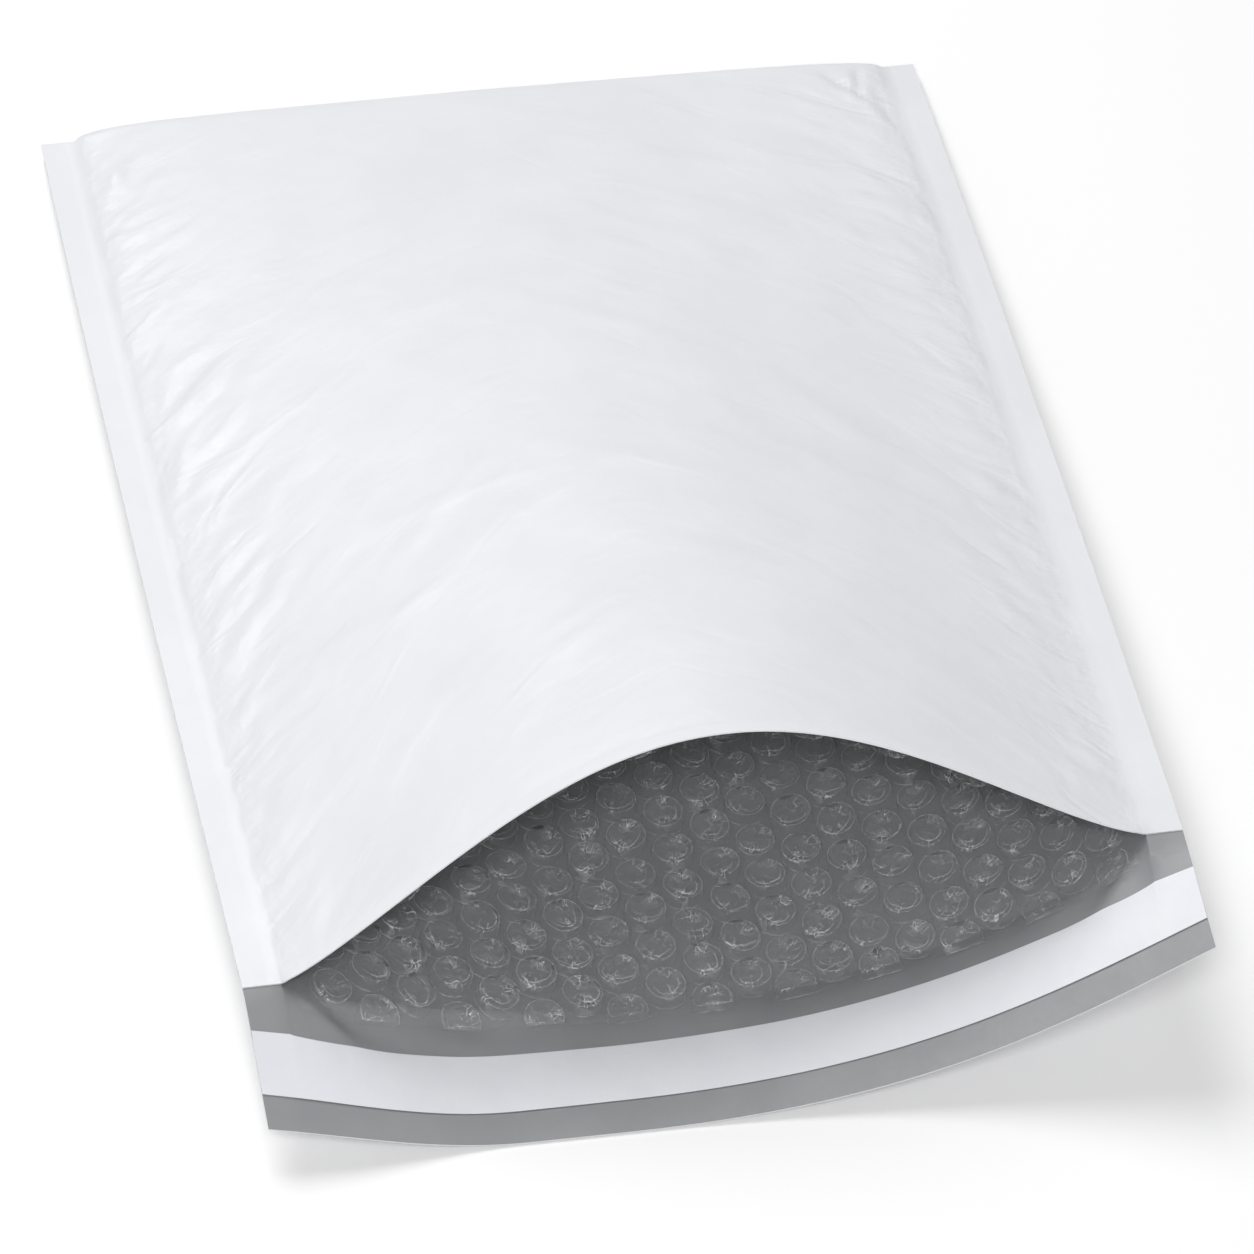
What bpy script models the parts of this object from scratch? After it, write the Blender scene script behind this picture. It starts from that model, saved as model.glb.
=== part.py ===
"""Bubble mailer, lying open on its back panel with its closing flap unfolded.

One sheet of film is folded at the closed end and welded along both sides. Its back half runs on past
the mouth as the flap, which carries a band of adhesive under a release liner. A second sheet, of
bubble cushioning, is folded the same way inside it. Every soft surface here is that one folded sheet:
a place on it is u, from -1 at the left weld to 1 at the right one, and w, the distance along the
sheet from the front panel's mouth over the fold to the flap's end.

X runs across the mailer, Y along it with the closed fold at +Y, and Z is up.
"""

import math

import bmesh
import bpy
import numpy as np
from mathutils import Matrix, Vector
from mathutils.geometry import delaunay_2d_cdt

# Flat sizes of the pack, in metres
FILM_WIDTH = 0.240
PANEL_LENGTH = 0.315
FLAP_LENGTH = 0.0347
SEAL_WIDTH = 0.009
FILM_THICKNESS = 0.0005
FOLD_THICKNESS = 0.0094

# Bubble cushioning
BUBBLE_PITCH = 0.012
BUBBLE_DIAMETER = 0.0098
BUBBLE_HEIGHT = 0.004
BUBBLE_FIELD_DEPTH = 0.125
LEAST_BUBBLE_HEIGHT = 0.0004
LINER_BASE = 0.0006
LINER_SIDE_MARGIN = 0.004
LINER_FRONT_INSET = 0.003
LINER_BACK_REACH = 0.0025

# Closing strip on the flap, measured from the mouth
STRIP_START = 0.0106
STRIP_WIDTH = 0.0154
ADHESIVE_INSET = 0.0015
ADHESIVE_THICKNESS = 0.0003
RELEASE_THICKNESS = 0.0003
GAP = 0.0003

# How the mouth stands open
MOUTH_PULL_IN = 0.0136
MOUTH_PULL_POWER = 1.36
FRONT_RISE = 0.0397
FRONT_POWER = 1.18
FRONT_CROWN = 0.02
FRONT_LEAN = 0.035
FRONT_SETBACK = 0.0155
BACK_CROWN = 0.05
BACK_POWER = 0.70
BACK_FLAT = 0.03
SEAM_LEFT = 0.0215
SEAM_RIGHT = 0.0385
SEAM_FOLD = 0.0036
FLAP_LEFT = 0.0112
FLAP_RIGHT = 0.0375
FLAP_BOW = 0.0028
FLAP_POWER = 2.54
FLAP_LEAN = 1.35
FLAP_CROWN = 0.38
FLAP_FLAT = 0.15
FLAP_RELAX = 3.9
FLAP_TAPER = 0.0087
FOLD_INSET = 0.0015
FOLD_POWER = 8
FOLD_LEAN = 0.35

# Mesh steps
ACROSS_STEP = 0.0105
ALONG_STEP = 0.0245
NOSE_STEPS = 6
WELD = 1e-6
SHARP_ANGLE = math.radians(40)

# Small steps and sample counts that the surface is measured with
SMALL_U = 1e-4
SMALL_W = 2e-5
INSIDE_WELD = 0.9999
LEAST_AHEAD = 1e-4
TABLE_STEPS = 801
ROOM_SAMPLES_ACROSS = 61
ROOM_SAMPLES_ALONG = 91

POCKET_WIDTH = FILM_WIDTH - 2 * SEAL_WIDTH
NOSE_RADIUS = FOLD_THICKNESS / 2 - FILM_THICKNESS
NOSE_ARC = math.pi * NOSE_RADIUS
BACK_START = PANEL_LENGTH + NOSE_ARC
MOUTH_BACK = BACK_START + PANEL_LENGTH
SHEET_END = MOUTH_BACK + FLAP_LENGTH
LINER_HALF = POCKET_WIDTH / 2 - LINER_SIDE_MARGIN
LINER_END = MOUTH_BACK + LINER_BACK_REACH
LINER_DEPTH = GAP + LINER_BASE
WELD_EDGE = 1 + SEAL_WIDTH / (POCKET_WIDTH / 2)


def blend(a, b, share):
    """Straight mix: a where share is 0, b where it is 1."""
    return a + (b - a) * share


def arch(s, power, crown=0.0, lean=0.0):
    """Cosine arch over s from -1 to 1: 0 at both ends and 1 at its crown, to the given power.

    A crown above 0 moves the highest place towards -1, and a lean above 0 hollows the side at 1.
    """
    t = s + crown * (1 - s * s)
    return np.clip(np.cos(math.pi / 2 * t), 0, 1) ** (power + lean * t)


def half_pocket(k):
    """Half the distance between the welds: pulled in at the mouth, k = 0, and flat at the fold, k = 1."""
    return POCKET_WIDTH / 2 - MOUTH_PULL_IN / 2 * (1 - k) ** MOUTH_PULL_POWER


def seam_height(s, k):
    """Height of the straight line from the left weld to the right one, which falls to the fold."""
    left = blend(SEAM_LEFT, SEAM_FOLD, k)
    right = blend(SEAM_RIGHT, SEAM_FOLD, k)
    return blend(left, right, (s + 1) / 2)


def fold_puff(s):
    """How full the closed end is, 0 at the welds and about 1 between, lower towards the right."""
    full = np.sqrt(np.clip(1 - np.abs(s) ** FOLD_POWER, 0, 1))
    return full * (1 - FOLD_LEAN * np.clip(s, 0, 1))


def fold_line(s):
    """Y of the place where a panel turns into the round nose of the closed end."""
    return PANEL_LENGTH / 2 - FOLD_INSET * fold_puff(s)


def fold_top(s):
    """Height of the front panel where it meets the nose."""
    return SEAM_FOLD + (FOLD_THICKNESS - FILM_THICKNESS - SEAM_FOLD) * fold_puff(s)


def fold_bottom(s):
    """Height of the back panel where it meets the nose."""
    return SEAM_FOLD - (SEAM_FOLD - FILM_THICKNESS) * fold_puff(s)


def run_of(length, rise):
    """Ground covered by a straight length that climbs by rise."""
    return np.sqrt(length * length - rise * rise)


def front_section(s, k):
    """Front panel: an arch at the mouth, a low puff at the fold, straight lines between them."""
    hump = arch(s, FRONT_POWER, FRONT_CROWN, FRONT_LEAN)
    mouth_z = seam_height(s, 0.0) + FRONT_RISE * hump
    mouth_y = fold_line(s) - run_of(PANEL_LENGTH, mouth_z - fold_top(s)) + FRONT_SETBACK * hump
    y = blend(mouth_y, fold_line(s), k)
    z = blend(mouth_z, fold_top(s), k)
    return np.stack([s * half_pocket(k), y, z], -1)


def back_mouth(s):
    """Back panel's mouth line: it hangs from the welds and lies flat on the ground at its crown."""
    lie = np.minimum(arch(s, BACK_POWER, BACK_CROWN) * (1 + BACK_FLAT), 1)
    z = blend(seam_height(s, 0.0), FILM_THICKNESS, lie)
    y = fold_line(s) - run_of(PANEL_LENGTH, z - fold_bottom(s))
    return y, z


def back_section(s, k):
    """Back panel: straight lines from its mouth line to the fold."""
    mouth_y, mouth_z = back_mouth(s)
    y = blend(mouth_y, fold_line(s), k)
    z = blend(mouth_z, fold_bottom(s), k)
    return np.stack([s * half_pocket(k), y, z], -1)


def flap_sag(q):
    """Height of the relaxed flap over its lowest line, as a share of its edges' height."""
    place = np.abs(q + FLAP_CROWN * (1 - q * q))
    return np.clip((place - FLAP_FLAT) / (1 - FLAP_FLAT), 0, 1) ** (FLAP_POWER + FLAP_LEAN * q)


def flap_section(s, beyond, k):
    """Flap, from the back panel's mouth line, k = 0, to its end, k = 1; beyond is how far into a weld.

    Past the mouth the film is free of the welds, so it soon relaxes into one shallow curve.
    """
    mouth_y, mouth_z = back_mouth(s)
    x = s * half_pocket(0.0) + beyond
    q = x / (half_pocket(0.0) + SEAL_WIDTH)
    sag = flap_sag(q)
    seam = blend(SEAM_LEFT, SEAM_RIGHT, (q + 1) / 2)
    end = blend(FLAP_LEFT, FLAP_RIGHT, (q + 1) / 2)
    free = 1 - (1 - k) ** FLAP_RELAX
    z = blend(mouth_z, FILM_THICKNESS + (blend(seam, end, k) - FILM_THICKNESS) * sag, free)
    level = PANEL_LENGTH / 2 - FOLD_INSET - run_of(PANEL_LENGTH, (seam - FILM_THICKNESS) * sag)
    run = run_of(FLAP_LENGTH, (seam - end) * sag) + FLAP_BOW * (1 - q * q)
    return np.stack([x * (1 - FLAP_TAPER * k), blend(mouth_y, level, free) - run * k, z], -1)


def even_steps(section):
    """Table that turns u into s so that equal steps of u are equal lengths along the mouth line."""
    s = np.sin(np.linspace(-math.pi / 2, math.pi / 2, TABLE_STEPS))
    points = section(s, 0.0)
    steps = np.linalg.norm(np.diff(points, axis=0), axis=1)
    length = np.concatenate([[0], np.cumsum(steps)])
    return 2 * length / length[-1] - 1, s


FRONT_STEPS = even_steps(front_section)
BACK_STEPS = even_steps(back_section)


def nose_section(u, turn):
    """Round nose of the closed end: a half circle from the front panel, turn = 0, to the back, 1."""
    angle = math.pi * (0.5 - turn)
    radius = (fold_top(u) - fold_bottom(u)) / 2
    y = fold_line(u) + radius * np.cos(angle)
    z = (fold_top(u) + fold_bottom(u)) / 2 + radius * np.sin(angle)
    return np.stack([u * POCKET_WIDTH / 2, y, z], -1)


def sheet_point(u, w):
    """Place on the film's inner face for u across and w along, from the four stretches of the sheet."""
    u, w = np.broadcast_arrays(np.asarray(u, float), np.asarray(w, float))
    inner = np.clip(u, -1, 1)
    k_front = np.clip(w / PANEL_LENGTH, 0, 1)
    k_back = np.clip((MOUTH_BACK - w) / PANEL_LENGTH, 0, 1)
    s_front = blend(np.interp(inner, *FRONT_STEPS), inner, k_front)
    s_back = blend(np.interp(inner, *BACK_STEPS), inner, k_back)
    turn = np.clip((w - PANEL_LENGTH) / NOSE_ARC, 0, 1)
    front = (w <= PANEL_LENGTH)[..., None]
    out = np.where(front, front_section(s_front, k_front), nose_section(inner, turn))
    out = np.where((w >= BACK_START)[..., None], back_section(s_back, k_back), out)
    beyond = (u - inner) * POCKET_WIDTH / 2
    out[..., 0] += beyond
    k_flap = np.clip((w - MOUTH_BACK) / FLAP_LENGTH, 0, 1)
    out = np.where((w > MOUTH_BACK)[..., None], flap_section(s_back, beyond, k_flap), out)
    return out


def outward(u, w):
    """Unit normal of the sheet, away from the pocket, from differences along u and w.

    No difference reaches over a weld's inner border, where the film has a crease.
    """
    u, w = np.broadcast_arrays(np.asarray(u, float), np.asarray(w, float))
    low = np.where(u > 1, 1, np.where(u < -1, -WELD_EDGE, -1))
    high = np.where(u > 1, WELD_EDGE, np.where(u < -1, -1, 1))
    across = sheet_point(np.minimum(u + SMALL_U, high), w) - sheet_point(np.maximum(u - SMALL_U, low), w)
    inside = u * INSIDE_WELD
    along = sheet_point(inside, w + SMALL_W) - sheet_point(inside, w - SMALL_W)
    normal = np.cross(across, along)
    return normal / np.linalg.norm(normal, axis=-1, keepdims=True)


def band_normal(w):
    """Normal of the flat weld band: up on the front face, round the nose, down on the back face."""
    angle = math.pi * (0.5 - np.clip((w - PANEL_LENGTH) / NOSE_ARC, 0, 1))
    return np.stack([np.zeros_like(w), np.cos(angle), np.sin(angle)], -1)


def strip_rows():
    """Stations of the release liner's two edges, with those of the narrower adhesive between them."""
    first, last = MOUTH_BACK + STRIP_START, MOUTH_BACK + STRIP_START + STRIP_WIDTH
    return np.array([first, first + ADHESIVE_INSET, last - ADHESIVE_INSET, last])


def film_rows():
    """Stations along the sheet where the mesh has a row, shared by the film, liner and strips."""
    steps = math.ceil((PANEL_LENGTH - LINER_FRONT_INSET) / ALONG_STEP)
    front = np.append(0, np.linspace(LINER_FRONT_INSET, PANEL_LENGTH, steps + 1))
    nose = np.linspace(PANEL_LENGTH, BACK_START, NOSE_STEPS + 1)[1:-1]
    back = MOUTH_BACK - front[::-1]
    return np.concatenate([front, nose, back, [LINER_END], strip_rows(), [SHEET_END]])


def film_columns():
    """Places across the pocket where the mesh has a column: both welds and even steps of the liner."""
    count = math.ceil(2 * LINER_HALF / ACROSS_STEP)
    half = LINER_HALF / (POCKET_WIDTH / 2)
    return np.concatenate([[-1], np.linspace(-half, half, count + 1), [1]])


def grid_faces(index):
    """Quads over a two-way array of vertex numbers."""
    quads = np.stack([index[:-1, :-1], index[1:, :-1], index[1:, 1:], index[:-1, 1:]], -1)
    return quads.reshape(-1, 4).tolist()


def strip_faces(first, second):
    """Quads between two equal rows of vertex numbers."""
    return grid_faces(np.stack([first, second]))


def make_material(name, colour, roughness, alpha=1.0):
    """Plain material of one colour, see-through where alpha is below 1."""
    material = bpy.data.materials.new(name)
    material.use_nodes = True
    shader = material.node_tree.nodes["Principled BSDF"]
    shader.inputs["Base Color"].default_value = (*colour, 1)
    shader.inputs["Roughness"].default_value = roughness
    shader.inputs["Metallic"].default_value = 0.0
    shader.inputs["Alpha"].default_value = alpha
    material.diffuse_color = (*colour, alpha)
    return material


def make_piece(name, points, faces, material):
    """Closed mesh object from points and faces, with coincident points joined and normals outward."""
    mesh = bpy.data.meshes.new(name)
    shape = bmesh.new()
    vertices = [shape.verts.new(p) for p in np.asarray(points).tolist()]
    for face in faces:
        shape.faces.new([vertices[i] for i in face])
    bmesh.ops.remove_doubles(shape, verts=shape.verts, dist=WELD)
    bmesh.ops.dissolve_degenerate(shape, edges=shape.edges, dist=WELD)
    bmesh.ops.recalc_face_normals(shape, faces=shape.faces)
    shape.to_mesh(mesh)
    shape.free()
    mesh.shade_smooth()
    mesh.set_sharp_from_angle(angle=SHARP_ANGLE)
    mesh.materials.append(material)
    piece = bpy.data.objects.new(name, mesh)
    bpy.context.collection.objects.link(piece)
    return piece


def film_normals(columns, rows):
    """Direction in which the film's outer face lies: true on the flap, flat on the bag's weld bands.

    At the bag's weld borders it is the mitre of the band's own normal and the panel's.
    """
    bag = rows < MOUTH_BACK + WELD
    band = band_normal(rows[bag])
    panel = outward(columns[None, 1:-1], rows[bag, None])
    for border in (0, -1):
        lean = (panel[:, border] * band).sum(-1, keepdims=True)
        panel[:, border] = (panel[:, border] + band) / (1 + lean)
    bag_normal = np.concatenate([band[:, None], panel, band[:, None]], axis=1)
    return np.concatenate([bag_normal, outward(columns[None, :], rows[~bag, None])])


def film_sides(out, inn, fold, mouth):
    """Faces of the film's two cut sides: the pentagon at the mouth, the weld, the nose, the flap."""
    faces = []
    turn = mouth - fold
    for column in (0, -1):
        edge = out[:, column]
        upper, lower = edge[:fold + 1], edge[turn:mouth + 1][::-1]
        faces.append([upper[0], upper[1], lower[1], lower[0], inn[mouth, column]])
        faces += strip_faces(upper[1:], lower[1:])
        faces.append(edge[fold:turn + 1].tolist())
        faces += strip_faces(edge[mouth:], inn[mouth:, column])
    return faces


def make_outer_film(material):
    """Film bag in one piece: outer face, pocket face, flap face, mouth rim, side and end edges."""
    rows = film_rows()
    columns = np.concatenate([[-WELD_EDGE], film_columns(), [WELD_EDGE]])
    face = sheet_point(columns[None, :], rows[:, None])
    outer = face + FILM_THICKNESS * film_normals(columns, rows)
    mouth = int(np.argmin(np.abs(rows - MOUTH_BACK)))
    fold = int(np.argmin(np.abs(rows - PANEL_LENGTH)))
    out = np.arange(len(rows) * len(columns)).reshape(len(rows), -1)
    inn = out + out.size
    rim = inn[0].copy()
    rim[[0, 1, -2, -1]] = inn[mouth, [0, 1, -2, -1]]
    face[0, [1, -2]] = face[mouth, [1, -2]]
    faces = grid_faces(out) + grid_faces(inn[:mouth + 1, 1:-1]) + grid_faces(inn[mouth:])
    faces += strip_faces(out[0], rim) + strip_faces(out[-1], inn[-1])
    faces += film_sides(out, inn, fold, mouth)
    points = np.concatenate([outer.reshape(-1, 3), face.reshape(-1, 3)])
    return make_piece("outer_film", *used_only(points, faces), material)


def used_only(points, faces):
    """Points that some face uses, with the faces renumbered to match."""
    used = sorted({i for face in faces for i in face})
    number = {old: new for new, old in enumerate(used)}
    return points[used], [[number[i] for i in face] for face in faces]


def hexagon(radius, turn):
    """Six corners round the origin, the first one at the given share of a sixth of a turn."""
    angle = (np.arange(6) + turn) * math.pi / 3
    return np.stack([np.cos(angle), np.sin(angle)], -1) * radius


def bubble_centres(edge, inward):
    """Centres of the bubbles on one panel, on a triangular lattice with a row line along the sheet."""
    column_step = BUBBLE_PITCH * math.sqrt(3) / 2
    reach = BUBBLE_PITCH / math.sqrt(3)
    across = int((2 * LINER_HALF - 2 * reach) // column_step) + 1
    deep = int((BUBBLE_FIELD_DEPTH - 2 * reach) // BUBBLE_PITCH) + 1
    x = (np.arange(across) - (across - 1) / 2) * column_step
    y = reach + np.arange(deep) * BUBBLE_PITCH
    shift = np.where(np.arange(across) % 2 == 0, 0, BUBBLE_PITCH / 2)
    grid = np.stack(np.broadcast_arrays(x[:, None], y[None, :] + shift[:, None]), -1).reshape(-1, 2)
    grid[:, 1] = edge + inward * grid[:, 1]
    return grid


def room_inside(points, inward, others):
    """Radius of the largest ball that touches each point from inside and stays short of the others.

    For a point P with inward normal m, a ball through another point Q has the radius
    |Q - P| squared over twice the part of Q - P that lies along m.
    """
    gap = others[None] - points[:, None]
    ahead = np.einsum("pqc,pc->pq", gap, inward)
    radius = (gap ** 2).sum(-1) / (2 * np.maximum(ahead, LEAST_AHEAD))
    return np.where(ahead > LEAST_AHEAD, radius, np.inf).min(1)


def bubble_heights(centres, opposite):
    """Height of each bubble: full where there is room, and squashed short of the pocket's middle."""
    half = POCKET_WIDTH / 2
    corners = centres[:, None] + hexagon(BUBBLE_DIAMETER / 2, 0)
    corners = corners.reshape(-1, 2)
    points = sheet_point(corners[:, 0] / half, corners[:, 1])
    inward = -outward(corners[:, 0] / half, corners[:, 1])
    room = room_inside(points, inward, opposite).reshape(len(centres), 6).min(1)
    return np.clip(room - LINER_DEPTH - GAP, LEAST_BUBBLE_HEIGHT, BUBBLE_HEIGHT)


def panel_samples(start, end):
    """Points spread over one panel's pocket face, between two stations of the sheet."""
    u = np.linspace(-1, 1, ROOM_SAMPLES_ACROSS)
    w = np.linspace(start, end, ROOM_SAMPLES_ALONG)
    return sheet_point(u[:, None], w[None]).reshape(-1, 3)


def pattern_rim(columns, rows):
    """Flat places round the edge of the cushioning, one for each column and row of the mesh grid."""
    rim = [(c, rows[0]) for c in columns] + [(columns[-1], r) for r in rows[1:]]
    rim += [(c, rows[-1]) for c in columns[-2::-1]] + [(columns[0], r) for r in rows[-2:0:-1]]
    return np.array(rim)


def plain_places(columns, rows, first, last):
    """Flat places of the mesh grid where the cushioning has no bubbles, between two stations."""
    return np.array([(c, r) for r in rows[1:-1] if first < r < last for c in columns[1:-1]])


def bubble_feet(centres):
    """Corners of the bubbles' cells, each one once, though up to three cells share it."""
    feet = (centres[:, None] + hexagon(BUBBLE_PITCH / math.sqrt(3), 0)).reshape(-1, 2)
    return feet[np.unique(np.round(feet / WELD).astype(int), axis=0, return_index=True)[1]]


def bubble_pattern(columns, rows):
    """Flat places of the cushioning's pocket face: first those level with the sheet, then bubble tops.

    Gives the level places, the number of them on the rim, the centre of each bubble and its height.
    """
    near, far = bubble_centres(rows[0], 1), bubble_centres(rows[-1], -1)
    heights = np.concatenate([bubble_heights(near, panel_samples(BACK_START, MOUTH_BACK)),
                              bubble_heights(far, panel_samples(0, PANEL_LENGTH))])
    rim = pattern_rim(columns, rows)
    plain = plain_places(columns, rows, near[:, 1].max() + BUBBLE_PITCH, far[:, 1].min() - BUBBLE_PITCH)
    level = np.concatenate([rim, plain, bubble_feet(near), bubble_feet(far)])
    return level, len(rim), np.concatenate([near, far]), heights


def fill_pattern(flat, rim, tops):
    """Triangles over the flat places, which keep the rim's edges and those of each hexagonal top."""
    edges = [(i, (i + 1) % rim) for i in range(rim)]
    for start in range(tops, len(flat), 6):
        edges += [(start + i, start + (i + 1) % 6) for i in range(6)]
    millimetres = [Vector(p) for p in (flat * 1000).tolist()]
    _, _, faces, origins, _, _ = delaunay_2d_cdt(millimetres, edges, [], 0, 1e-4)
    return [[origins[i][0] for i in face] for face in faces]


def bubble_face(columns, rows):
    """Pocket face of the cushioning: a flat pattern of places, laid on the sheet and raised off it.

    Each bubble is a six-sided cup whose foot is its cell of the lattice and whose flat top is a
    hexagon. Its top rises along the sheet's normal at its own centre.
    """
    level, rim, centres, heights = bubble_pattern(columns, rows)
    tops = (centres[:, None] + hexagon(BUBBLE_DIAMETER / 2, 0)).reshape(-1, 2)
    flat = np.concatenate([level, tops])
    lean = np.concatenate([level, np.repeat(centres, 6, axis=0)])
    rise = np.concatenate([np.zeros(len(level)), np.repeat(heights, 6)])
    half = POCKET_WIDTH / 2
    base = sheet_point(flat[:, 0] / half, flat[:, 1])
    own = outward(flat[:, 0] / half, flat[:, 1])
    bubble = outward(lean[:, 0] / half, lean[:, 1])
    points = base - own * LINER_DEPTH - bubble * rise[:, None]
    return points, fill_pattern(flat, rim, len(level)), rim


def make_bubble_liner(material):
    """Bubble cushioning in one piece: a plain back, the pocket face with bubbles, and cut edges."""
    half = POCKET_WIDTH / 2
    rows = film_rows()
    rows = rows[(rows > LINER_FRONT_INSET - WELD) & (rows < LINER_END + WELD)]
    columns = film_columns()[1:-1] * half
    inside, faces, rim = bubble_face(columns, rows)
    back = sheet_point(columns[None] / half, rows[:, None])
    back = back - GAP * outward(columns[None] / half, rows[:, None])
    index = np.arange(back.shape[0] * back.shape[1]).reshape(len(rows), -1) + len(inside)
    loop = np.concatenate([index[0], index[1:, -1], index[-1, -2::-1], index[-2:0:-1, 0]])
    inner_loop = np.arange(rim)
    edge = strip_faces(np.append(loop, loop[0]), np.append(inner_loop, inner_loop[0]))
    points = np.concatenate([inside, back.reshape(-1, 3)])
    return make_piece("bubble_liner", points, faces + grid_faces(index) + edge, material)


def make_strip(name, rows, under, thickness, material):
    """Band across the flap's inner face with mesh rows at the given stations, at a height under it."""
    columns = np.concatenate([[-WELD_EDGE], film_columns(), [WELD_EDGE]])
    face = sheet_point(columns[None], rows[:, None])
    normal = outward(columns[None], rows[:, None])
    low = face - under * normal
    high = face - (under + thickness) * normal
    below = np.arange(len(columns) * len(rows)).reshape(len(rows), -1)
    above = below + below.size
    faces = grid_faces(below) + grid_faces(above)
    for edge in ((0, slice(None)), (-1, slice(None)), (slice(None), 0), (slice(None), -1)):
        faces += strip_faces(below[edge], above[edge])
    return make_piece(name, np.concatenate([low.reshape(-1, 3), high.reshape(-1, 3)]), faces, material)


def clear_scene():
    """Empties the scene of the objects that it starts with."""
    for item in list(bpy.data.objects):
        bpy.data.objects.remove(item)


def centre_on(film, pieces):
    """Moves every mesh so that the film's box stands centred on the origin, on the ground."""
    corners = np.array([vertex.co for vertex in film.data.vertices])
    low, high = corners.min(0), corners.max(0)
    middle = Vector(((low[0] + high[0]) / 2, (low[1] + high[1]) / 2, low[2]))
    for piece in pieces:
        piece.data.transform(Matrix.Translation(-middle))


def main():
    """Builds the four pieces and stands them on the ground."""
    clear_scene()
    film = make_material("white_film", (0.86, 0.87, 0.89), 0.35)
    cushion = make_material("clear_bubbles", (0.45, 0.46, 0.47), 0.2, 0.6)
    adhesive = make_material("clear_adhesive", (0.75, 0.74, 0.68), 0.3)
    release = make_material("release_paper", (0.88, 0.89, 0.92), 0.5)
    bag = make_outer_film(film)
    liner = make_bubble_liner(cushion)
    glue = make_strip("adhesive_strip", strip_rows()[1:-1], GAP, ADHESIVE_THICKNESS, adhesive)
    cover = make_strip("release_liner", strip_rows(), 2 * GAP + ADHESIVE_THICKNESS,
                       RELEASE_THICKNESS, release)
    centre_on(bag, (bag, liner, glue, cover))


main()
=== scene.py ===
# %% [markdown]
# # A bubble mailer, lying open
#
# A bubble mailer is a bag folded from one sheet of film, white outside and grey inside, with a sheet
# of bubble cushioning folded the same way inside it. The two side edges are welded, and the back
# panel runs on past the mouth as the closing flap. This script dresses the plain solids of the packed
# part: it works out the same folded sheet on a much finer grid, presses wrinkles into it, blows up
# every bubble, and gives each layer its own finish.

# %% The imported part
import math

import bmesh
import bpy
import numpy as np
from mathutils import Matrix, Vector


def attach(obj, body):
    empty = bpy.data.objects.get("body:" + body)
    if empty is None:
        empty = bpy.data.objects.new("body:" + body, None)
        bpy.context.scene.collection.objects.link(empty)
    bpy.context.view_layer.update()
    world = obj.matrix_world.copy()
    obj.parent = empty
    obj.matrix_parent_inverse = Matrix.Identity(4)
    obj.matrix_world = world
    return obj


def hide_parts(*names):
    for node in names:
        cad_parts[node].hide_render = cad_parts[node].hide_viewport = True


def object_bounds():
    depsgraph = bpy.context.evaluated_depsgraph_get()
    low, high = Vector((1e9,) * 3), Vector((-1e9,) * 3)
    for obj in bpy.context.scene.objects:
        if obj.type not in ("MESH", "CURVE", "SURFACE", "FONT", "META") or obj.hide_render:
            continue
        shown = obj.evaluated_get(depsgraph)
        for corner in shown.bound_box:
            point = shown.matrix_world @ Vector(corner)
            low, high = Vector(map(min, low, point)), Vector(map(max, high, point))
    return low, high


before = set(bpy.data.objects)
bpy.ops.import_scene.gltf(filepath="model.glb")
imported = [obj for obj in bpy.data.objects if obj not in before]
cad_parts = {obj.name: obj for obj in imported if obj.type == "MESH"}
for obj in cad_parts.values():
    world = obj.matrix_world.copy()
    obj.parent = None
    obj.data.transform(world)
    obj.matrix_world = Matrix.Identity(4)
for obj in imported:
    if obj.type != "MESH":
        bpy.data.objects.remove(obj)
cad_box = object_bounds()
print("solids:", sorted(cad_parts))
print("box of the solids in mm:", [round(1000 * c, 1) for corner in cad_box for c in corner])

# %% [markdown]
# ## The flat pattern
#
# Every layer here is cut from flat sheet and then folded, so a place is told by two numbers as on the
# flat pattern: u goes across, from -1 at the left weld to 1 at the right weld, and w goes along, from
# the front panel's mouth over the closed fold to the end of the flap. The sizes are the ones that the
# solids were built with. A piece that is worked out from (u, w) always lands where its solid is.

# %% Sizes of the pack, in metres
FILM_WIDTH = 0.240
PANEL_LENGTH = 0.315
FLAP_LENGTH = 0.0347
SEAL_WIDTH = 0.009
FOLD_THICKNESS = 0.0094
SOLID_FILM = 0.0005

POCKET_WIDTH = FILM_WIDTH - 2 * SEAL_WIDTH
HALF = POCKET_WIDTH / 2
WELD_EDGE = 1 + SEAL_WIDTH / HALF
NOSE_ARC = math.pi * (FOLD_THICKNESS / 2 - SOLID_FILM)
BACK_START = PANEL_LENGTH + NOSE_ARC
MOUTH_BACK = BACK_START + PANEL_LENGTH
SHEET_END = MOUTH_BACK + FLAP_LENGTH
print("flat film:", FILM_WIDTH, "by", round(SHEET_END, 4), "m")

# %% How the mouth stands open, in metres
MOUTH_PULL_IN, MOUTH_PULL_POWER = 0.0136, 1.36
FRONT_RISE, FRONT_POWER, FRONT_CROWN, FRONT_LEAN = 0.0397, 1.18, 0.02, 0.035
FRONT_SETBACK = 0.0155
BACK_CROWN, BACK_POWER, BACK_FLAT = 0.05, 0.70, 0.03
SEAM_LEFT, SEAM_RIGHT, SEAM_FOLD = 0.0215, 0.0385, 0.0036
FLAP_LEFT, FLAP_RIGHT, FLAP_BOW, FLAP_TAPER = 0.0112, 0.0375, 0.0028, 0.0087
FLAP_POWER, FLAP_LEAN, FLAP_CROWN, FLAP_FLAT, FLAP_RELAX = 2.54, 1.35, 0.38, 0.15, 3.9
FOLD_INSET, FOLD_POWER, FOLD_LEAN = 0.0015, 8, 0.35

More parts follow.
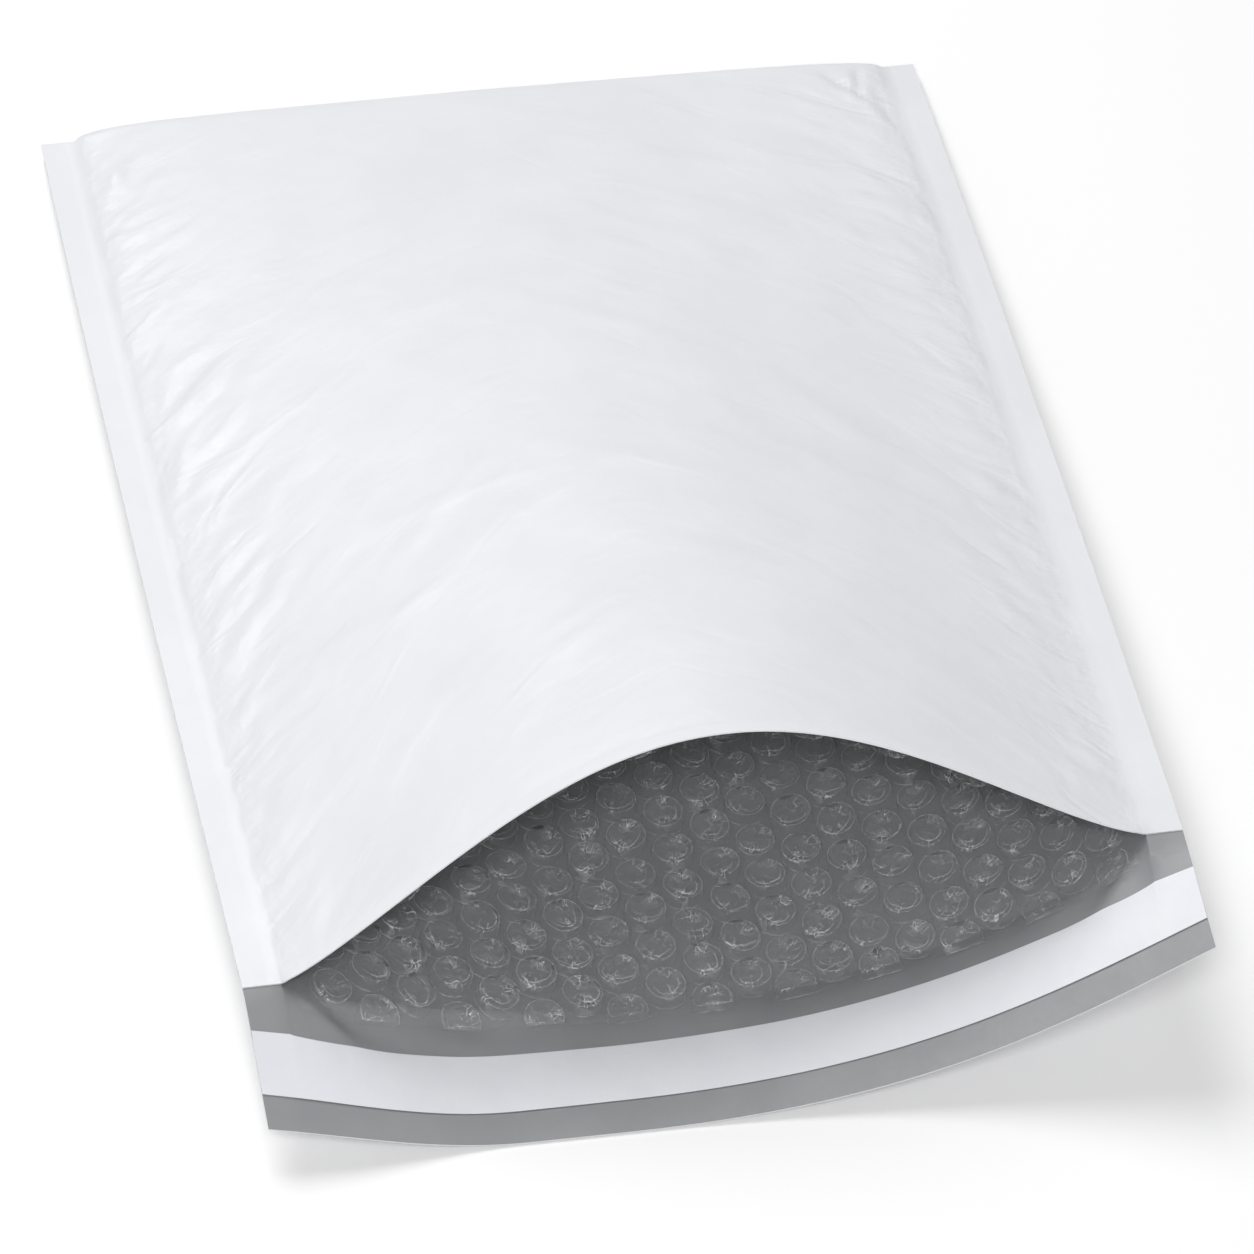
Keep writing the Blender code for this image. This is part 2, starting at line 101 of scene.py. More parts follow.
# %% [markdown]
# ## The folded sheet as a surface
#
# The open mouth is a shape that cloth simulation would find too, but a formula keeps it exactly on the
# solids: at the mouth the front panel is an arch and the back panel a shallow trough between the two
# welds, at the closed end both are nearly flat, and straight lines join the two ends. That is how a
# stiff film bends, in one direction at a time.


# %% Straight mixes and arches
def blend(a, b, share):
    """Straight mix: a where share is 0, b where it is 1."""
    return a + (b - a) * share


def arch(s, power, crown=0.0, lean=0.0):
    """Cosine of a quarter turn times s, to a power: 0 at s = -1 and 1, and 1 at the crown."""
    t = s + crown * (1 - s * s)
    return np.clip(np.cos(math.pi / 2 * t), 0, 1) ** (power + lean * t)


def run_of(length, rise):
    """Ground covered by a straight length that climbs by rise, after Pythagoras."""
    return np.sqrt(length * length - rise * rise)


# %% The welds and the closed fold
def half_pocket(k):
    """Half the distance between the welds: pulled in at the mouth, k = 0, and flat at the fold, 1."""
    return HALF - MOUTH_PULL_IN / 2 * (1 - k) ** MOUTH_PULL_POWER


def seam_height(s, k):
    """Height of the straight line from the left weld to the right one, which falls to the fold."""
    left = blend(SEAM_LEFT, SEAM_FOLD, k)
    right = blend(SEAM_RIGHT, SEAM_FOLD, k)
    return blend(left, right, (s + 1) / 2)


def fold_puff(s):
    """How full the closed end is: a squared-off arch, lower towards the right."""
    full = np.sqrt(np.clip(1 - np.abs(s) ** FOLD_POWER, 0, 1))
    return full * (1 - FOLD_LEAN * np.clip(s, 0, 1))


def fold_line(s):
    """Y of the place where a panel turns into the round nose of the closed end."""
    return PANEL_LENGTH / 2 - FOLD_INSET * fold_puff(s)


def fold_top(s):
    """Height of the front panel where it meets the nose."""
    return SEAM_FOLD + (FOLD_THICKNESS - SOLID_FILM - SEAM_FOLD) * fold_puff(s)


def fold_bottom(s):
    """Height of the back panel where it meets the nose."""
    return SEAM_FOLD - (SEAM_FOLD - SOLID_FILM) * fold_puff(s)


# %% The two panels, the nose and the flap
def front_section(s, k):
    """Front panel: the arch at the mouth, the low puff at the fold, and straight lines between them."""
    hump = arch(s, FRONT_POWER, FRONT_CROWN, FRONT_LEAN)
    mouth_z = seam_height(s, 0.0) + FRONT_RISE * hump
    mouth_y = fold_line(s) - run_of(PANEL_LENGTH, mouth_z - fold_top(s)) + FRONT_SETBACK * hump
    y = blend(mouth_y, fold_line(s), k)
    z = blend(mouth_z, fold_top(s), k)
    return np.stack([s * half_pocket(k), y, z], -1)


def back_mouth(s):
    """Back panel's mouth line: it hangs from the welds and lies flat on the ground at its crown."""
    lie = np.minimum(arch(s, BACK_POWER, BACK_CROWN) * (1 + BACK_FLAT), 1)
    z = blend(seam_height(s, 0.0), SOLID_FILM, lie)
    return fold_line(s) - run_of(PANEL_LENGTH, z - fold_bottom(s)), z


def back_section(s, k):
    """Back panel: straight lines from its mouth line to the fold."""
    mouth_y, mouth_z = back_mouth(s)
    y = blend(mouth_y, fold_line(s), k)
    z = blend(mouth_z, fold_bottom(s), k)
    return np.stack([s * half_pocket(k), y, z], -1)


def nose_section(u, turn):
    """Round nose of the closed end: a half circle from the front panel, turn = 0, to the back, 1."""
    angle = math.pi * (0.5 - turn)
    radius = (fold_top(u) - fold_bottom(u)) / 2
    y = fold_line(u) + radius * np.cos(angle)
    z = (fold_top(u) + fold_bottom(u)) / 2 + radius * np.sin(angle)
    return np.stack([u * HALF, y, z], -1)


def flap_section(s, beyond, k):
    """Flap: free of the welds, it relaxes from the back panel's mouth line into one shallow curve."""
    mouth_y, mouth_z = back_mouth(s)
    x = s * half_pocket(0.0) + beyond
    q = x / (half_pocket(0.0) + SEAL_WIDTH)
    place = np.abs(q + FLAP_CROWN * (1 - q * q))
    sag = np.clip((place - FLAP_FLAT) / (1 - FLAP_FLAT), 0, 1) ** (FLAP_POWER + FLAP_LEAN * q)
    seam = blend(SEAM_LEFT, SEAM_RIGHT, (q + 1) / 2)
    end = blend(FLAP_LEFT, FLAP_RIGHT, (q + 1) / 2)
    free = 1 - (1 - k) ** FLAP_RELAX
    z = blend(mouth_z, SOLID_FILM + (blend(seam, end, k) - SOLID_FILM) * sag, free)
    level = PANEL_LENGTH / 2 - FOLD_INSET - run_of(PANEL_LENGTH, (seam - SOLID_FILM) * sag)
    run = run_of(FLAP_LENGTH, (seam - end) * sag) + FLAP_BOW * (1 - q * q)
    return np.stack([x * (1 - FLAP_TAPER * k), blend(mouth_y, level, free) - run * k, z], -1)


# %% Even steps across a panel
STEPS_MEASURED = 801


def even_steps(section):
    """Table from u to s in which equal steps of u are equal lengths along a panel's mouth line."""
    s = np.sin(np.linspace(-math.pi / 2, math.pi / 2, STEPS_MEASURED))
    steps = np.linalg.norm(np.diff(section(s, 0.0), axis=0), axis=1)
    length = np.concatenate([[0], np.cumsum(steps)])
    return 2 * length / length[-1] - 1, s


FRONT_STEPS = even_steps(front_section)
BACK_STEPS = even_steps(back_section)

# %% Any place of the sheet; how far it has to move along Y is filled in by the next cell
FORWARD = [0.0]


def sheet_point(u, w):
    """Place of the pattern's point (u, w), on the front panel, the nose, the back panel or the flap."""
    u, w = np.broadcast_arrays(np.asarray(u, float), np.asarray(w, float))
    inner = np.clip(u, -1, 1)
    k_front = np.clip(w / PANEL_LENGTH, 0, 1)
    k_back = np.clip((MOUTH_BACK - w) / PANEL_LENGTH, 0, 1)
    k_flap = np.clip((w - MOUTH_BACK) / FLAP_LENGTH, 0, 1)
    turn = np.clip((w - PANEL_LENGTH) / NOSE_ARC, 0, 1)
    s_front = blend(np.interp(inner, *FRONT_STEPS), inner, k_front)
    s_back = blend(np.interp(inner, *BACK_STEPS), inner, k_back)
    beyond = (u - inner) * HALF
    front = front_section(s_front, k_front)
    out = np.where((w <= PANEL_LENGTH)[..., None], front, nose_section(inner, turn))
    out = np.where((w >= BACK_START)[..., None], back_section(s_back, k_back), out)
    out[..., 0] += beyond
    out = np.where((w > MOUTH_BACK)[..., None], flap_section(s_back, beyond, k_flap), out)
    out[..., 1] += FORWARD[0]
    return out


# %% The sheet is set on the solids: its nose ends where theirs does
nose_tip = sheet_point(np.linspace(-1, 1, 401), PANEL_LENGTH + NOSE_ARC / 2)[:, 1].max()
FORWARD[0] = cad_box[1].y - SOLID_FILM - nose_tip
print("the sheet moves along Y by", round(1000 * FORWARD[0], 2), "mm")


# %% Directions on the sheet
def outward(u, w):
    """Unit normal away from the pocket: the cross product of small steps across and along.

    No step reaches over a weld's inner border, where the film has a crease.
    """
    u, w = np.broadcast_arrays(np.asarray(u, float), np.asarray(w, float))
    step_u, step_w, inside = 1e-4, 2e-5, 0.9999
    low = np.where(u > 1, 1, np.where(u < -1, -WELD_EDGE, -1))
    high = np.where(u > 1, WELD_EDGE, np.where(u < -1, -1, 1))
    across = sheet_point(np.minimum(u + step_u, high), w)
    across = across - sheet_point(np.maximum(u - step_u, low), w)
    along = sheet_point(u * inside, w + step_w) - sheet_point(u * inside, w - step_w)
    normal = np.cross(across, along)
    return normal / np.maximum(np.linalg.norm(normal, axis=-1, keepdims=True), 1e-12)


def band_normal(w):
    """Normal of a flat weld band: up on the front, round the nose, and down on the back."""
    angle = math.pi * (0.5 - np.clip((w - PANEL_LENGTH) / NOSE_ARC, 0, 1))
    return np.stack([np.zeros_like(w), np.cos(angle), np.sin(angle)], -1)


# %% [markdown]
# ## Wrinkles
#
# The film is bonded to the cushioning in spots and pulled by its welds, so fine creases run from each
# weld up towards the closed fold, and longer, softer ones lie free in the middle. A bump map would
# vanish at the edge of the shape and in low light, so these are real moves of the surface. One crease
# is a ridge along a short line: a bell curve across it, and a half sine along it. The finest wrinkles
# are narrower than a face of the mesh. Those are left to the finish, and each point of the film only
# gets the numbers that they need.


# %% One crease
def crease(x, y, start, angle, length, width, height, bend=0.0):
    """Ridge that starts at a point of the flat pattern and runs at an angle, with a dip on one side."""
    along = (x - start[0]) * math.cos(angle) + (y - start[1]) * math.sin(angle)
    off = (y - start[1]) * math.cos(angle) - (x - start[0]) * math.sin(angle)
    off = off - bend * along * (along - length) / length
    t = np.clip(along / length, 0, 1)
    bell = np.exp(-((off / width) ** 2))
    dip = np.exp(-(((off + 1.8 * width) / (1.4 * width)) ** 2))
    return height * np.sin(math.pi * t ** 0.7) * (bell - 0.35 * dip)


# %% Creases of the two panels
# Least and most of each size in metres, and the angle's middle and spread in degrees from across.
CREASES_AT_WELD = {"inset": (0.001, 0.010), "angle": (38, 11), "length": (0.010, 0.034),
                   "width": (0.0014, 0.0028), "height": (0.00012, 0.00040)}
CREASES_FREE = {"inset": (0.015, 0.085), "angle": (34, 16), "length": (0.018, 0.070),
                "width": (0.0020, 0.0050), "height": (0.00010, 0.00028)}
SHARE_AT_WELD = 0.72
CREASE_FIRST, CREASE_LAST = 0.004, PANEL_LENGTH - 0.012


def panel_creases(x, y, seed, count):
    """Sum of seeded creases: most start at a weld and run inwards, and some lie free in the panel."""
    chance = np.random.default_rng(seed)
    total = np.zeros_like(x)
    for number in range(count):
        side = -1 if number % 2 == 0 else 1
        kind = CREASES_AT_WELD if chance.random() < SHARE_AT_WELD else CREASES_FREE
        inset = chance.uniform(*kind["inset"])
        start = (side * (HALF - inset), chance.uniform(CREASE_FIRST, CREASE_LAST))
        angle = chance.normal(*kind["angle"])
        length, width, height = (chance.uniform(*kind[key]) for key in ("length", "width", "height"))
        turn = math.radians(angle) if side < 0 else math.pi - math.radians(angle)
        bend = chance.uniform(-0.5, 0.5)
        total += crease(x, y, start, turn, length, width, height, bend)
    return total


# %% Creases listed one by one: start, angle in degrees, length, width and height
# The first table is for both corners beside the closed fold, and the second for the flap's two ends.
FAR_CORNERS = (
    ((0.0925, 0.3125), -48, 0.025, 0.0013, -0.00110),
    ((0.1035, 0.3135), -98, 0.019, 0.0012, -0.00090),
    ((0.1065, 0.308), -84, 0.034, 0.0026, -0.00075),
    ((0.1000, 0.300), -62, 0.030, 0.0016, 0.00040),
    ((0.1080, 0.286), 152, 0.050, 0.0024, 0.00045),
    ((0.1090, 0.268), 150, 0.060, 0.0028, -0.00040),
    ((0.1090, 0.250), 146, 0.045, 0.0022, 0.00040),
    ((-0.1070, 0.306), -70, 0.020, 0.0022, 0.00060),
    ((-0.1040, 0.300), 62, 0.014, 0.0016, 0.00050),
    ((-0.1080, 0.284), 64, 0.024, 0.0018, 0.00060),
    ((-0.1020, 0.282), 60, 0.022, 0.0020, -0.00040),
    ((-0.1080, 0.258), 52, 0.030, 0.0022, 0.00055),
)
FLAP_FOLDS = (
    ((-0.106, 0.000), 40, 0.024, 0.0022, 0.00095),
    ((-0.101, 0.000), 30, 0.034, 0.0034, -0.00080),
    ((-0.084, 0.001), 20, 0.040, 0.0036, 0.00050),
    ((0.107, 0.000), 142, 0.026, 0.0024, 0.00090),
    ((0.101, 0.001), 152, 0.034, 0.0034, -0.00060),
)


# %% All wrinkles together, in metres
FRONT_CREASES, BACK_CREASES = 260, 120
DEEPEST_DENT = -0.0010
BACK_LOWEST, BACK_HIGHEST = -0.0002, 0.0003
CALM_AT_WELD, CALM_AT_FOLD, CALM_AT_MOUTH, CALM_AT_GROUND = 0.0022, 0.004, 0.006, 0.006
LIP_HEIGHT, LIP_WIDTH = 0.0006, 0.0055
GROOVE_DEPTH, GROOVE_PLACE, GROOVE_WIDTH = 0.00012, 0.0065, 0.0016
FLAP_FOLDS_GROW, FLAP_FOLDS_FADE, FLAP_FOLDS_END = 0.003, 0.005, 0.0125


def set_crease(x, y, row):
    """One crease of a table above."""
    start, degrees, *sizes = row
    return crease(x, y, start, math.radians(degrees), *sizes)


def wrinkle(u, w):
    """Height of the film above its smooth shape: creases on both panels, folds on the flap, a lip."""
    u, w = np.broadcast_arrays(np.asarray(u, float), np.asarray(w, float))
    x = u * HALF
    front, back = w <= PANEL_LENGTH, (w >= BACK_START) & (w <= MOUTH_BACK)
    calm = np.clip((1 - np.abs(u)) * HALF / CALM_AT_WELD, 0, 1)
    from_fold = np.minimum(np.abs(w - PANEL_LENGTH), np.abs(w - BACK_START))
    total = np.where(front, panel_creases(x, w, 11, FRONT_CREASES), 0)
    for fold in FAR_CORNERS:
        total += np.where(front, set_crease(x, w, fold), 0)
    total = np.maximum(total, DEEPEST_DENT)
    below = np.clip(panel_creases(x, MOUTH_BACK - w, 23, BACK_CREASES), BACK_LOWEST, BACK_HIGHEST)
    total = np.where(back, below, total)
    lift = np.clip(sheet_point(u, w)[..., 2] / CALM_AT_GROUND - 0.2, 0, 1)
    total *= np.where(back, lift, 1) * calm * np.clip(from_fold / CALM_AT_FOLD, 0, 1)
    total *= np.where(back, np.clip((MOUTH_BACK - w) / CALM_AT_MOUTH, 0, 1), 1)
    lip = LIP_HEIGHT * np.clip(1 - w / LIP_WIDTH, 0, 1)
    lip = lip - GROOVE_DEPTH * np.exp(-((w - GROOVE_PLACE) / GROOVE_WIDTH) ** 2)
    total += np.where(front, lip * calm, 0)
    past = w - MOUTH_BACK
    folds = sum(set_crease(x, past, fold) for fold in FLAP_FOLDS)
    ramp = np.clip(past / FLAP_FOLDS_GROW, 0, 1)
    ramp = ramp * np.clip((FLAP_FOLDS_END - past) / FLAP_FOLDS_FADE, 0, 1)
    return total + np.where(w > MOUTH_BACK, -folds * ramp, 0)


def film_surface(u, w):
    """The wrinkled sheet: the smooth shape, moved along its normal by the wrinkles' height."""
    return sheet_point(u, w) + wrinkle(u, w)[..., None] * outward(u, w)


# %% [markdown]
# ## Mesh helpers
#
# A surface comes out of numpy as a grid of points, and quads over the grid make it a mesh. Where a
# finish has to know its place on the sheet, numbers for it are stored with the points, so it follows
# the sheet round its fold.


# %% From arrays to a mesh
SHARP_EDGE = math.radians(50)
SAME_POINT = 1e-7


def grid_faces(index):
    """Quads over a two-way array of vertex numbers."""
    quads = np.stack([index[:-1, :-1], index[1:, :-1], index[1:, 1:], index[:-1, 1:]], -1)
    return quads.reshape(-1, 4).tolist()


def strip_faces(first, second):
    """Quads between two equal rows of vertex numbers."""
    return grid_faces(np.stack([first, second]))


def make_piece(name, points, faces, kinds=None, close=True, numbers=None):
    """Mesh object at the origin: coincident points joined and normals outward where it is closed.

    Numbers are arrays with one row for each point, stored for the finish to read.
    """
    mesh = bpy.data.meshes.new(name)
    mesh.from_pydata(points, [], faces)
    for key, values in (numbers or {}).items():
        wide = values.ndim == 2
        layer = mesh.attributes.new(key, "FLOAT_VECTOR" if wide else "FLOAT", "POINT")
        layer.data.foreach_set("vector" if wide else "value", values.astype(np.float32).reshape(-1))
    if kinds is not None:
        mesh.polygons.foreach_set("material_index", kinds)
    if close:
        shape = bmesh.new()
        shape.from_mesh(mesh)
        bmesh.ops.remove_doubles(shape, verts=shape.verts, dist=SAME_POINT)
        bmesh.ops.recalc_face_normals(shape, faces=shape.faces)
        shape.to_mesh(mesh)
        shape.free()
    mesh.shade_smooth()
    mesh.set_sharp_from_angle(angle=SHARP_EDGE)
    piece = bpy.data.objects.new(name, mesh)
    bpy.context.collection.objects.link(piece)
    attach(piece, "root")
    triangles = sum(len(face.vertices) - 2 for face in mesh.polygons)
    print(name, "has", triangles, "triangles")
    return piece


def make_thin_sheet(name, low, high):
    """Closed thin sheet between two equal grids of points, with a strip round all four edges."""
    below = np.arange(low.shape[0] * low.shape[1]).reshape(low.shape[:2])
    above = below + below.size
    faces = grid_faces(below) + grid_faces(above)
    for edge in ((0, slice(None)), (-1, slice(None)), (slice(None), 0), (slice(None), -1)):
        faces += strip_faces(below[edge], above[edge])
    return make_piece(name, np.concatenate([low.reshape(-1, 3), high.reshape(-1, 3)]), faces)


# %% [markdown]
# ## The film bag
#
# The real bag is one sheet with an edge that you can see, so it gets a thickness: an outer face, a
# pocket face, the flap's inner face, and narrow strips that close it at the mouth's rim, down the
# welded sides and round the flap. Outer faces and cut edges take the white finish, and the faces that
# look into the pocket take the grey one.

# %% Grid of the film
FILM_SHOWN = 0.00038
FILM_ACROSS, FILM_BESIDE, FILM_ALONG = 0.0027, 0.0013, 0.0019
FILM_LIP = (0, 0.0006, 0.0013, 0.0022, 0.0038, 0.0054, 0.0062)
NOSE_ROWS, FLAP_ROWS, WELD_COLUMNS = 11, 22, 4
CREASED = 0.032


def film_rows():
    """Stations along the sheet: fine at the mouth's lip, even down the panels, fine round the nose."""
    even = np.arange(FILM_LIP[-1] + FILM_ALONG, PANEL_LENGTH - FILM_ALONG / 2, FILM_ALONG)
    front = np.concatenate([FILM_LIP, even, [PANEL_LENGTH]])
    nose = np.linspace(PANEL_LENGTH, BACK_START, NOSE_ROWS)[1:-1]
    flap = np.linspace(MOUTH_BACK, SHEET_END, FLAP_ROWS)[1:]
    return np.concatenate([front, nose, MOUTH_BACK - front[::-1], flap])


def film_columns():
    """Places across the sheet: both weld bands, small steps beside them and larger ones between."""
    middle = np.linspace(0, HALF - CREASED, round((HALF - CREASED) / FILM_ACROSS) + 1)
    beside = np.linspace(HALF - CREASED, HALF, round(CREASED / FILM_BESIDE) + 1)[1:]
    half = np.concatenate([middle, beside]) / HALF
    band = np.linspace(1, WELD_EDGE, WELD_COLUMNS)[1:]
    half = np.concatenate([half, band])
    return np.concatenate([-half[:0:-1], half])


rows, columns = film_rows(), film_columns()
print("film grid:", len(rows), "by", len(columns))


# %% The film's two faces
def film_faces(rows, columns):
    """Outer and inner points of the film, with a mitred crease along the welds' inner borders."""
    face = film_surface(columns[None], rows[:, None])
    normal = outward(columns[None], rows[:, None])
    bag = rows < MOUTH_BACK + 1e-9
    band = band_normal(rows[bag])
    left, right = np.flatnonzero(np.abs(np.abs(columns) - 1) < 1e-9)
    for weld in (left, right):
        lean = (normal[bag, weld] * band).sum(-1, keepdims=True)
        normal[bag, weld] = (normal[bag, weld] + band) / (1 + lean)
    normal[bag, :left] = normal[bag, right + 1:] = band[:, None]
    return face + FILM_SHOWN * normal, face, int(left), int(right)


# %% Numbers for the finish: which way the fine wrinkles run, how strong they are, and where the painted sheen along the lip lies
WRINKLE_LEAN = math.radians(33)
SLACK_MIDDLE, SLACK_REACH, SLACK_RAMP = 0.34, 0.021, 0.0015
LIP_SHEEN_REACH, LIP_SHEEN_FADE = 0.0066, 0.0024


def grain(u, w):
    """Distances along and across the fine wrinkles, which lean up and inwards from both welds."""
    x, station = np.abs(u) * HALF, np.minimum(w, MOUTH_BACK - w)
    along = station * math.sin(WRINKLE_LEAN) - x * math.cos(WRINKLE_LEAN)
    off = station * math.cos(WRINKLE_LEAN) + x * math.sin(WRINKLE_LEAN)
    return np.stack([along, off, u * HALF], -1)


def slack(u, w):
    """How creased the film is: most beside a weld, a little in the middle, and not on weld or flap."""
    inset = (1 - np.abs(u)) * HALF
    panel = (w <= PANEL_LENGTH) | ((w >= BACK_START) & (w <= MOUTH_BACK))
    strength = SLACK_MIDDLE + (1 - SLACK_MIDDLE) * np.exp(-((inset / SLACK_REACH) ** 2))
    return np.clip(inset / SLACK_RAMP, 0, 1) * strength * panel


# %% The bag is closed along its rim, sides, nose and flap
def make_film(rows, columns):
    """Film bag in one piece, white outside and on its cut edges, and grey towards the pocket."""
    outer, inner, left, right = film_faces(rows, columns)
    mouth = int(np.argmin(np.abs(rows - MOUTH_BACK)))
    fold = int(np.argmin(np.abs(rows - PANEL_LENGTH)))
    turn = mouth - fold
    bands = np.r_[0:left + 1, right:len(columns)]
    inner[0, bands] = inner[mouth, bands]
    out = np.arange(outer.shape[0] * outer.shape[1]).reshape(len(rows), -1)
    inn = out + out.size
    rim = inn[0].copy()
    rim[bands] = inn[mouth, bands]
    white = grid_faces(out) + strip_faces(out[0], rim) + strip_faces(out[-1], inn[-1])
    for column in (0, -1):
        edge = out[:, column]
        upper, lower = edge[:fold + 1], edge[turn:mouth + 1][::-1]
        white.append([upper[0], upper[1], lower[1], lower[0], inn[mouth, column]])
        white += strip_faces(upper[1:], lower[1:]) + [edge[fold:turn + 1].tolist()]
        white += strip_faces(edge[mouth:], inn[mouth:, column])
    grey = grid_faces(inn[:mouth + 1, left:right + 1]) + grid_faces(inn[mouth:])
    kinds = [0] * len(white) + [1] * len(grey)
    points = np.concatenate([outer.reshape(-1, 3), inner.reshape(-1, 3)])
    u, w = (part.reshape(-1) for part in np.broadcast_arrays(columns[None], rows[:, None]))
    # Share of the painted sheen: the white film is made lighter along the mouth's lip
    lip = np.clip((LIP_SHEEN_REACH - w) / LIP_SHEEN_FADE, 0, 1) * (np.abs(u) < 1)
    numbers = {"grain": grain(u, w), "slack": slack(u, w), "lip": lip}
    numbers = {name: np.concatenate([values, values]) for name, values in numbers.items()}
    return make_piece("film_bag", points, white + grey, kinds, numbers=numbers)


film_bag = make_film(rows, columns)
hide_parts("outer_film")

# %% [markdown]
# ## The bubble cushioning
#
# Cushioning is two clear films: a flat one, and one drawn into round cups that trap air. The flat one
# is a thin closed sheet just inside the bag. The cups are one small form, worked out for all bubbles at
# once: a foot ring on the sheet, an upright wall, a rounded shoulder and a slightly slack top. Each cup
# leans, swells and sags a little differently, which is what makes real ones sparkle unevenly.

# %% Sizes of the cushioning, in metres
BUBBLE_PITCH, BUBBLE_DIAMETER, BUBBLE_HEIGHT = 0.012, 0.0105, 0.004
BUBBLE_ROWS = 23
LATTICE_SHIFT = 0.0015
LINER_GAP, LINER_BASE = 0.0003, 0.00025
LINER_SIDE_MARGIN, LINER_FRONT_INSET, LINER_BACK_REACH = 0.004, 0.003, 0.004
LINER_HALF = HALF - LINER_SIDE_MARGIN
LINER_END = MOUTH_BACK + LINER_BACK_REACH
LINER_DEPTH = LINER_GAP + LINER_BASE

# %% The flat film of the cushioning: its cut edge, its grid, and the size, rate and start of a wave
RAGGED_REACH, RAGGED_SIZE = 0.008, 0.0011
LIFT_REACH, LIFT_SIZE = 0.006, 0.0007
LINER_COLUMNS, LINER_ROWS, FINE_ROWS, FINE_PART = 81, 190, 13, 0.012
WAVES, LEAST_WAVE, MOST_WAVE = 4, (0.5, 150, 0), (1, 900, 7)


def ragged(x, seed):
    """Smooth seeded unevenness from -1 to 1 along a cut edge: a sum of four sines."""
    chance = np.random.default_rng(seed)
    waves = [chance.uniform(LEAST_WAVE, MOST_WAVE) for _ in range(WAVES)]
    return sum(size * np.sin(rate * x + start) for size, rate, start in waves) / WAVES


def liner_edge(x, w):
    """Moves the last of the sheet at the back mouth in and out, so that its cut edge is uneven."""
    near = np.clip((w - (LINER_END - RAGGED_REACH)) / RAGGED_REACH, 0, 1) ** 2
    return w + RAGGED_SIZE * ragged(x, 5) * near


def make_cushion_sheet():
    """The flat film: it follows the bag, and lifts off it here and there along the cut edge."""
    x = np.linspace(-LINER_HALF, LINER_HALF, LINER_COLUMNS)
    w = np.concatenate([np.linspace(LINER_FRONT_INSET, LINER_END - FINE_PART, LINER_ROWS),
                        np.linspace(LINER_END - FINE_PART, LINER_END, FINE_ROWS)[1:]])
    along = liner_edge(x[None], w[:, None])
    u = np.broadcast_to(x[None] / HALF, along.shape)
    normal = outward(u, along)
    near = np.clip((w - (LINER_END - LIFT_REACH)) / LIFT_REACH, 0, 1)[:, None]
    lift = LINER_GAP + LIFT_SIZE * near * (0.5 + 0.5 * ragged(x * 2.3, 8))[None]
    base = film_surface(u, along)
    low = base - lift[..., None] * normal
    high = base - (lift + LINER_BASE)[..., None] * normal
    return make_thin_sheet("cushion_sheet", low, high)


cushion_sheet = make_cushion_sheet()
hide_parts("bubble_liner")


# %% Where the bubbles are
COLUMN_STEP = BUBBLE_PITCH * math.sqrt(3) / 2
GAP_SHARE, LEAST_BUBBLE = 0.46, 0.0004


def bubble_centres(edge, inward):
    """Triangular lattice on one panel, with every second column half a pitch further in."""
    reach = BUBBLE_PITCH / math.sqrt(3)
    across = int((2 * LINER_HALF - 2 * reach) // COLUMN_STEP) + 1
    x = (np.arange(across) - (across - 1) / 2) * COLUMN_STEP + LATTICE_SHIFT
    shift = np.where(np.arange(across) % 2 == 0, 0, BUBBLE_PITCH / 2)
    y = reach + np.arange(BUBBLE_ROWS)[None] * BUBBLE_PITCH + shift[:, None]
    return np.stack([np.broadcast_to(x[:, None], y.shape), edge + inward * y], -1).reshape(-1, 2)


def room_for(centres):
    """Height that a bubble has: just under half the gap between the panels, on its weld side."""
    x, w = centres.T
    u = (x + np.sign(x) * BUBBLE_DIAMETER / 2) / HALF
    k = np.where(w < PANEL_LENGTH, w, MOUTH_BACK - w) / PANEL_LENGTH
    s_front = blend(np.interp(u, *FRONT_STEPS), u, k)
    s_back = blend(np.interp(u, *BACK_STEPS), u, k)
    gap = np.linalg.norm(front_section(s_front, k) - back_section(s_back, k), axis=-1)
    return np.clip(GAP_SHARE * gap - LINER_DEPTH - LEAST_BUBBLE, LEAST_BUBBLE, BUBBLE_HEIGHT)


front_bubbles = bubble_centres(LINER_FRONT_INSET, 1)
back_bubbles = bubble_centres(LINER_END, -1)
centres = np.concatenate([front_bubbles, back_bubbles])
print("bubbles:", len(centres))

# %% Shape of one cup: for each ring, its share of the radius, its share of the height, and its number
CUP_SIDES = 16
CUP_RINGS = ((1.0, 0.0, 2.0), (0.99, 0.74, 1.25), (0.93, 1.0, 1.0))
RING_SHARES, RING_RISES, RING_NUMBERS = zip(*CUP_RINGS)
CUP_TURNS = np.arange(CUP_SIDES) * 2 * math.pi / CUP_SIDES
CUP_MIDDLE = len(CUP_RINGS) * CUP_SIDES
CUP_SIZE = CUP_MIDDLE + 1
SWELL, TILT, SAG = 0.012, (0.02, 0.16), (0.86, 1.0)
CUT_OVERHANG = 0.0006


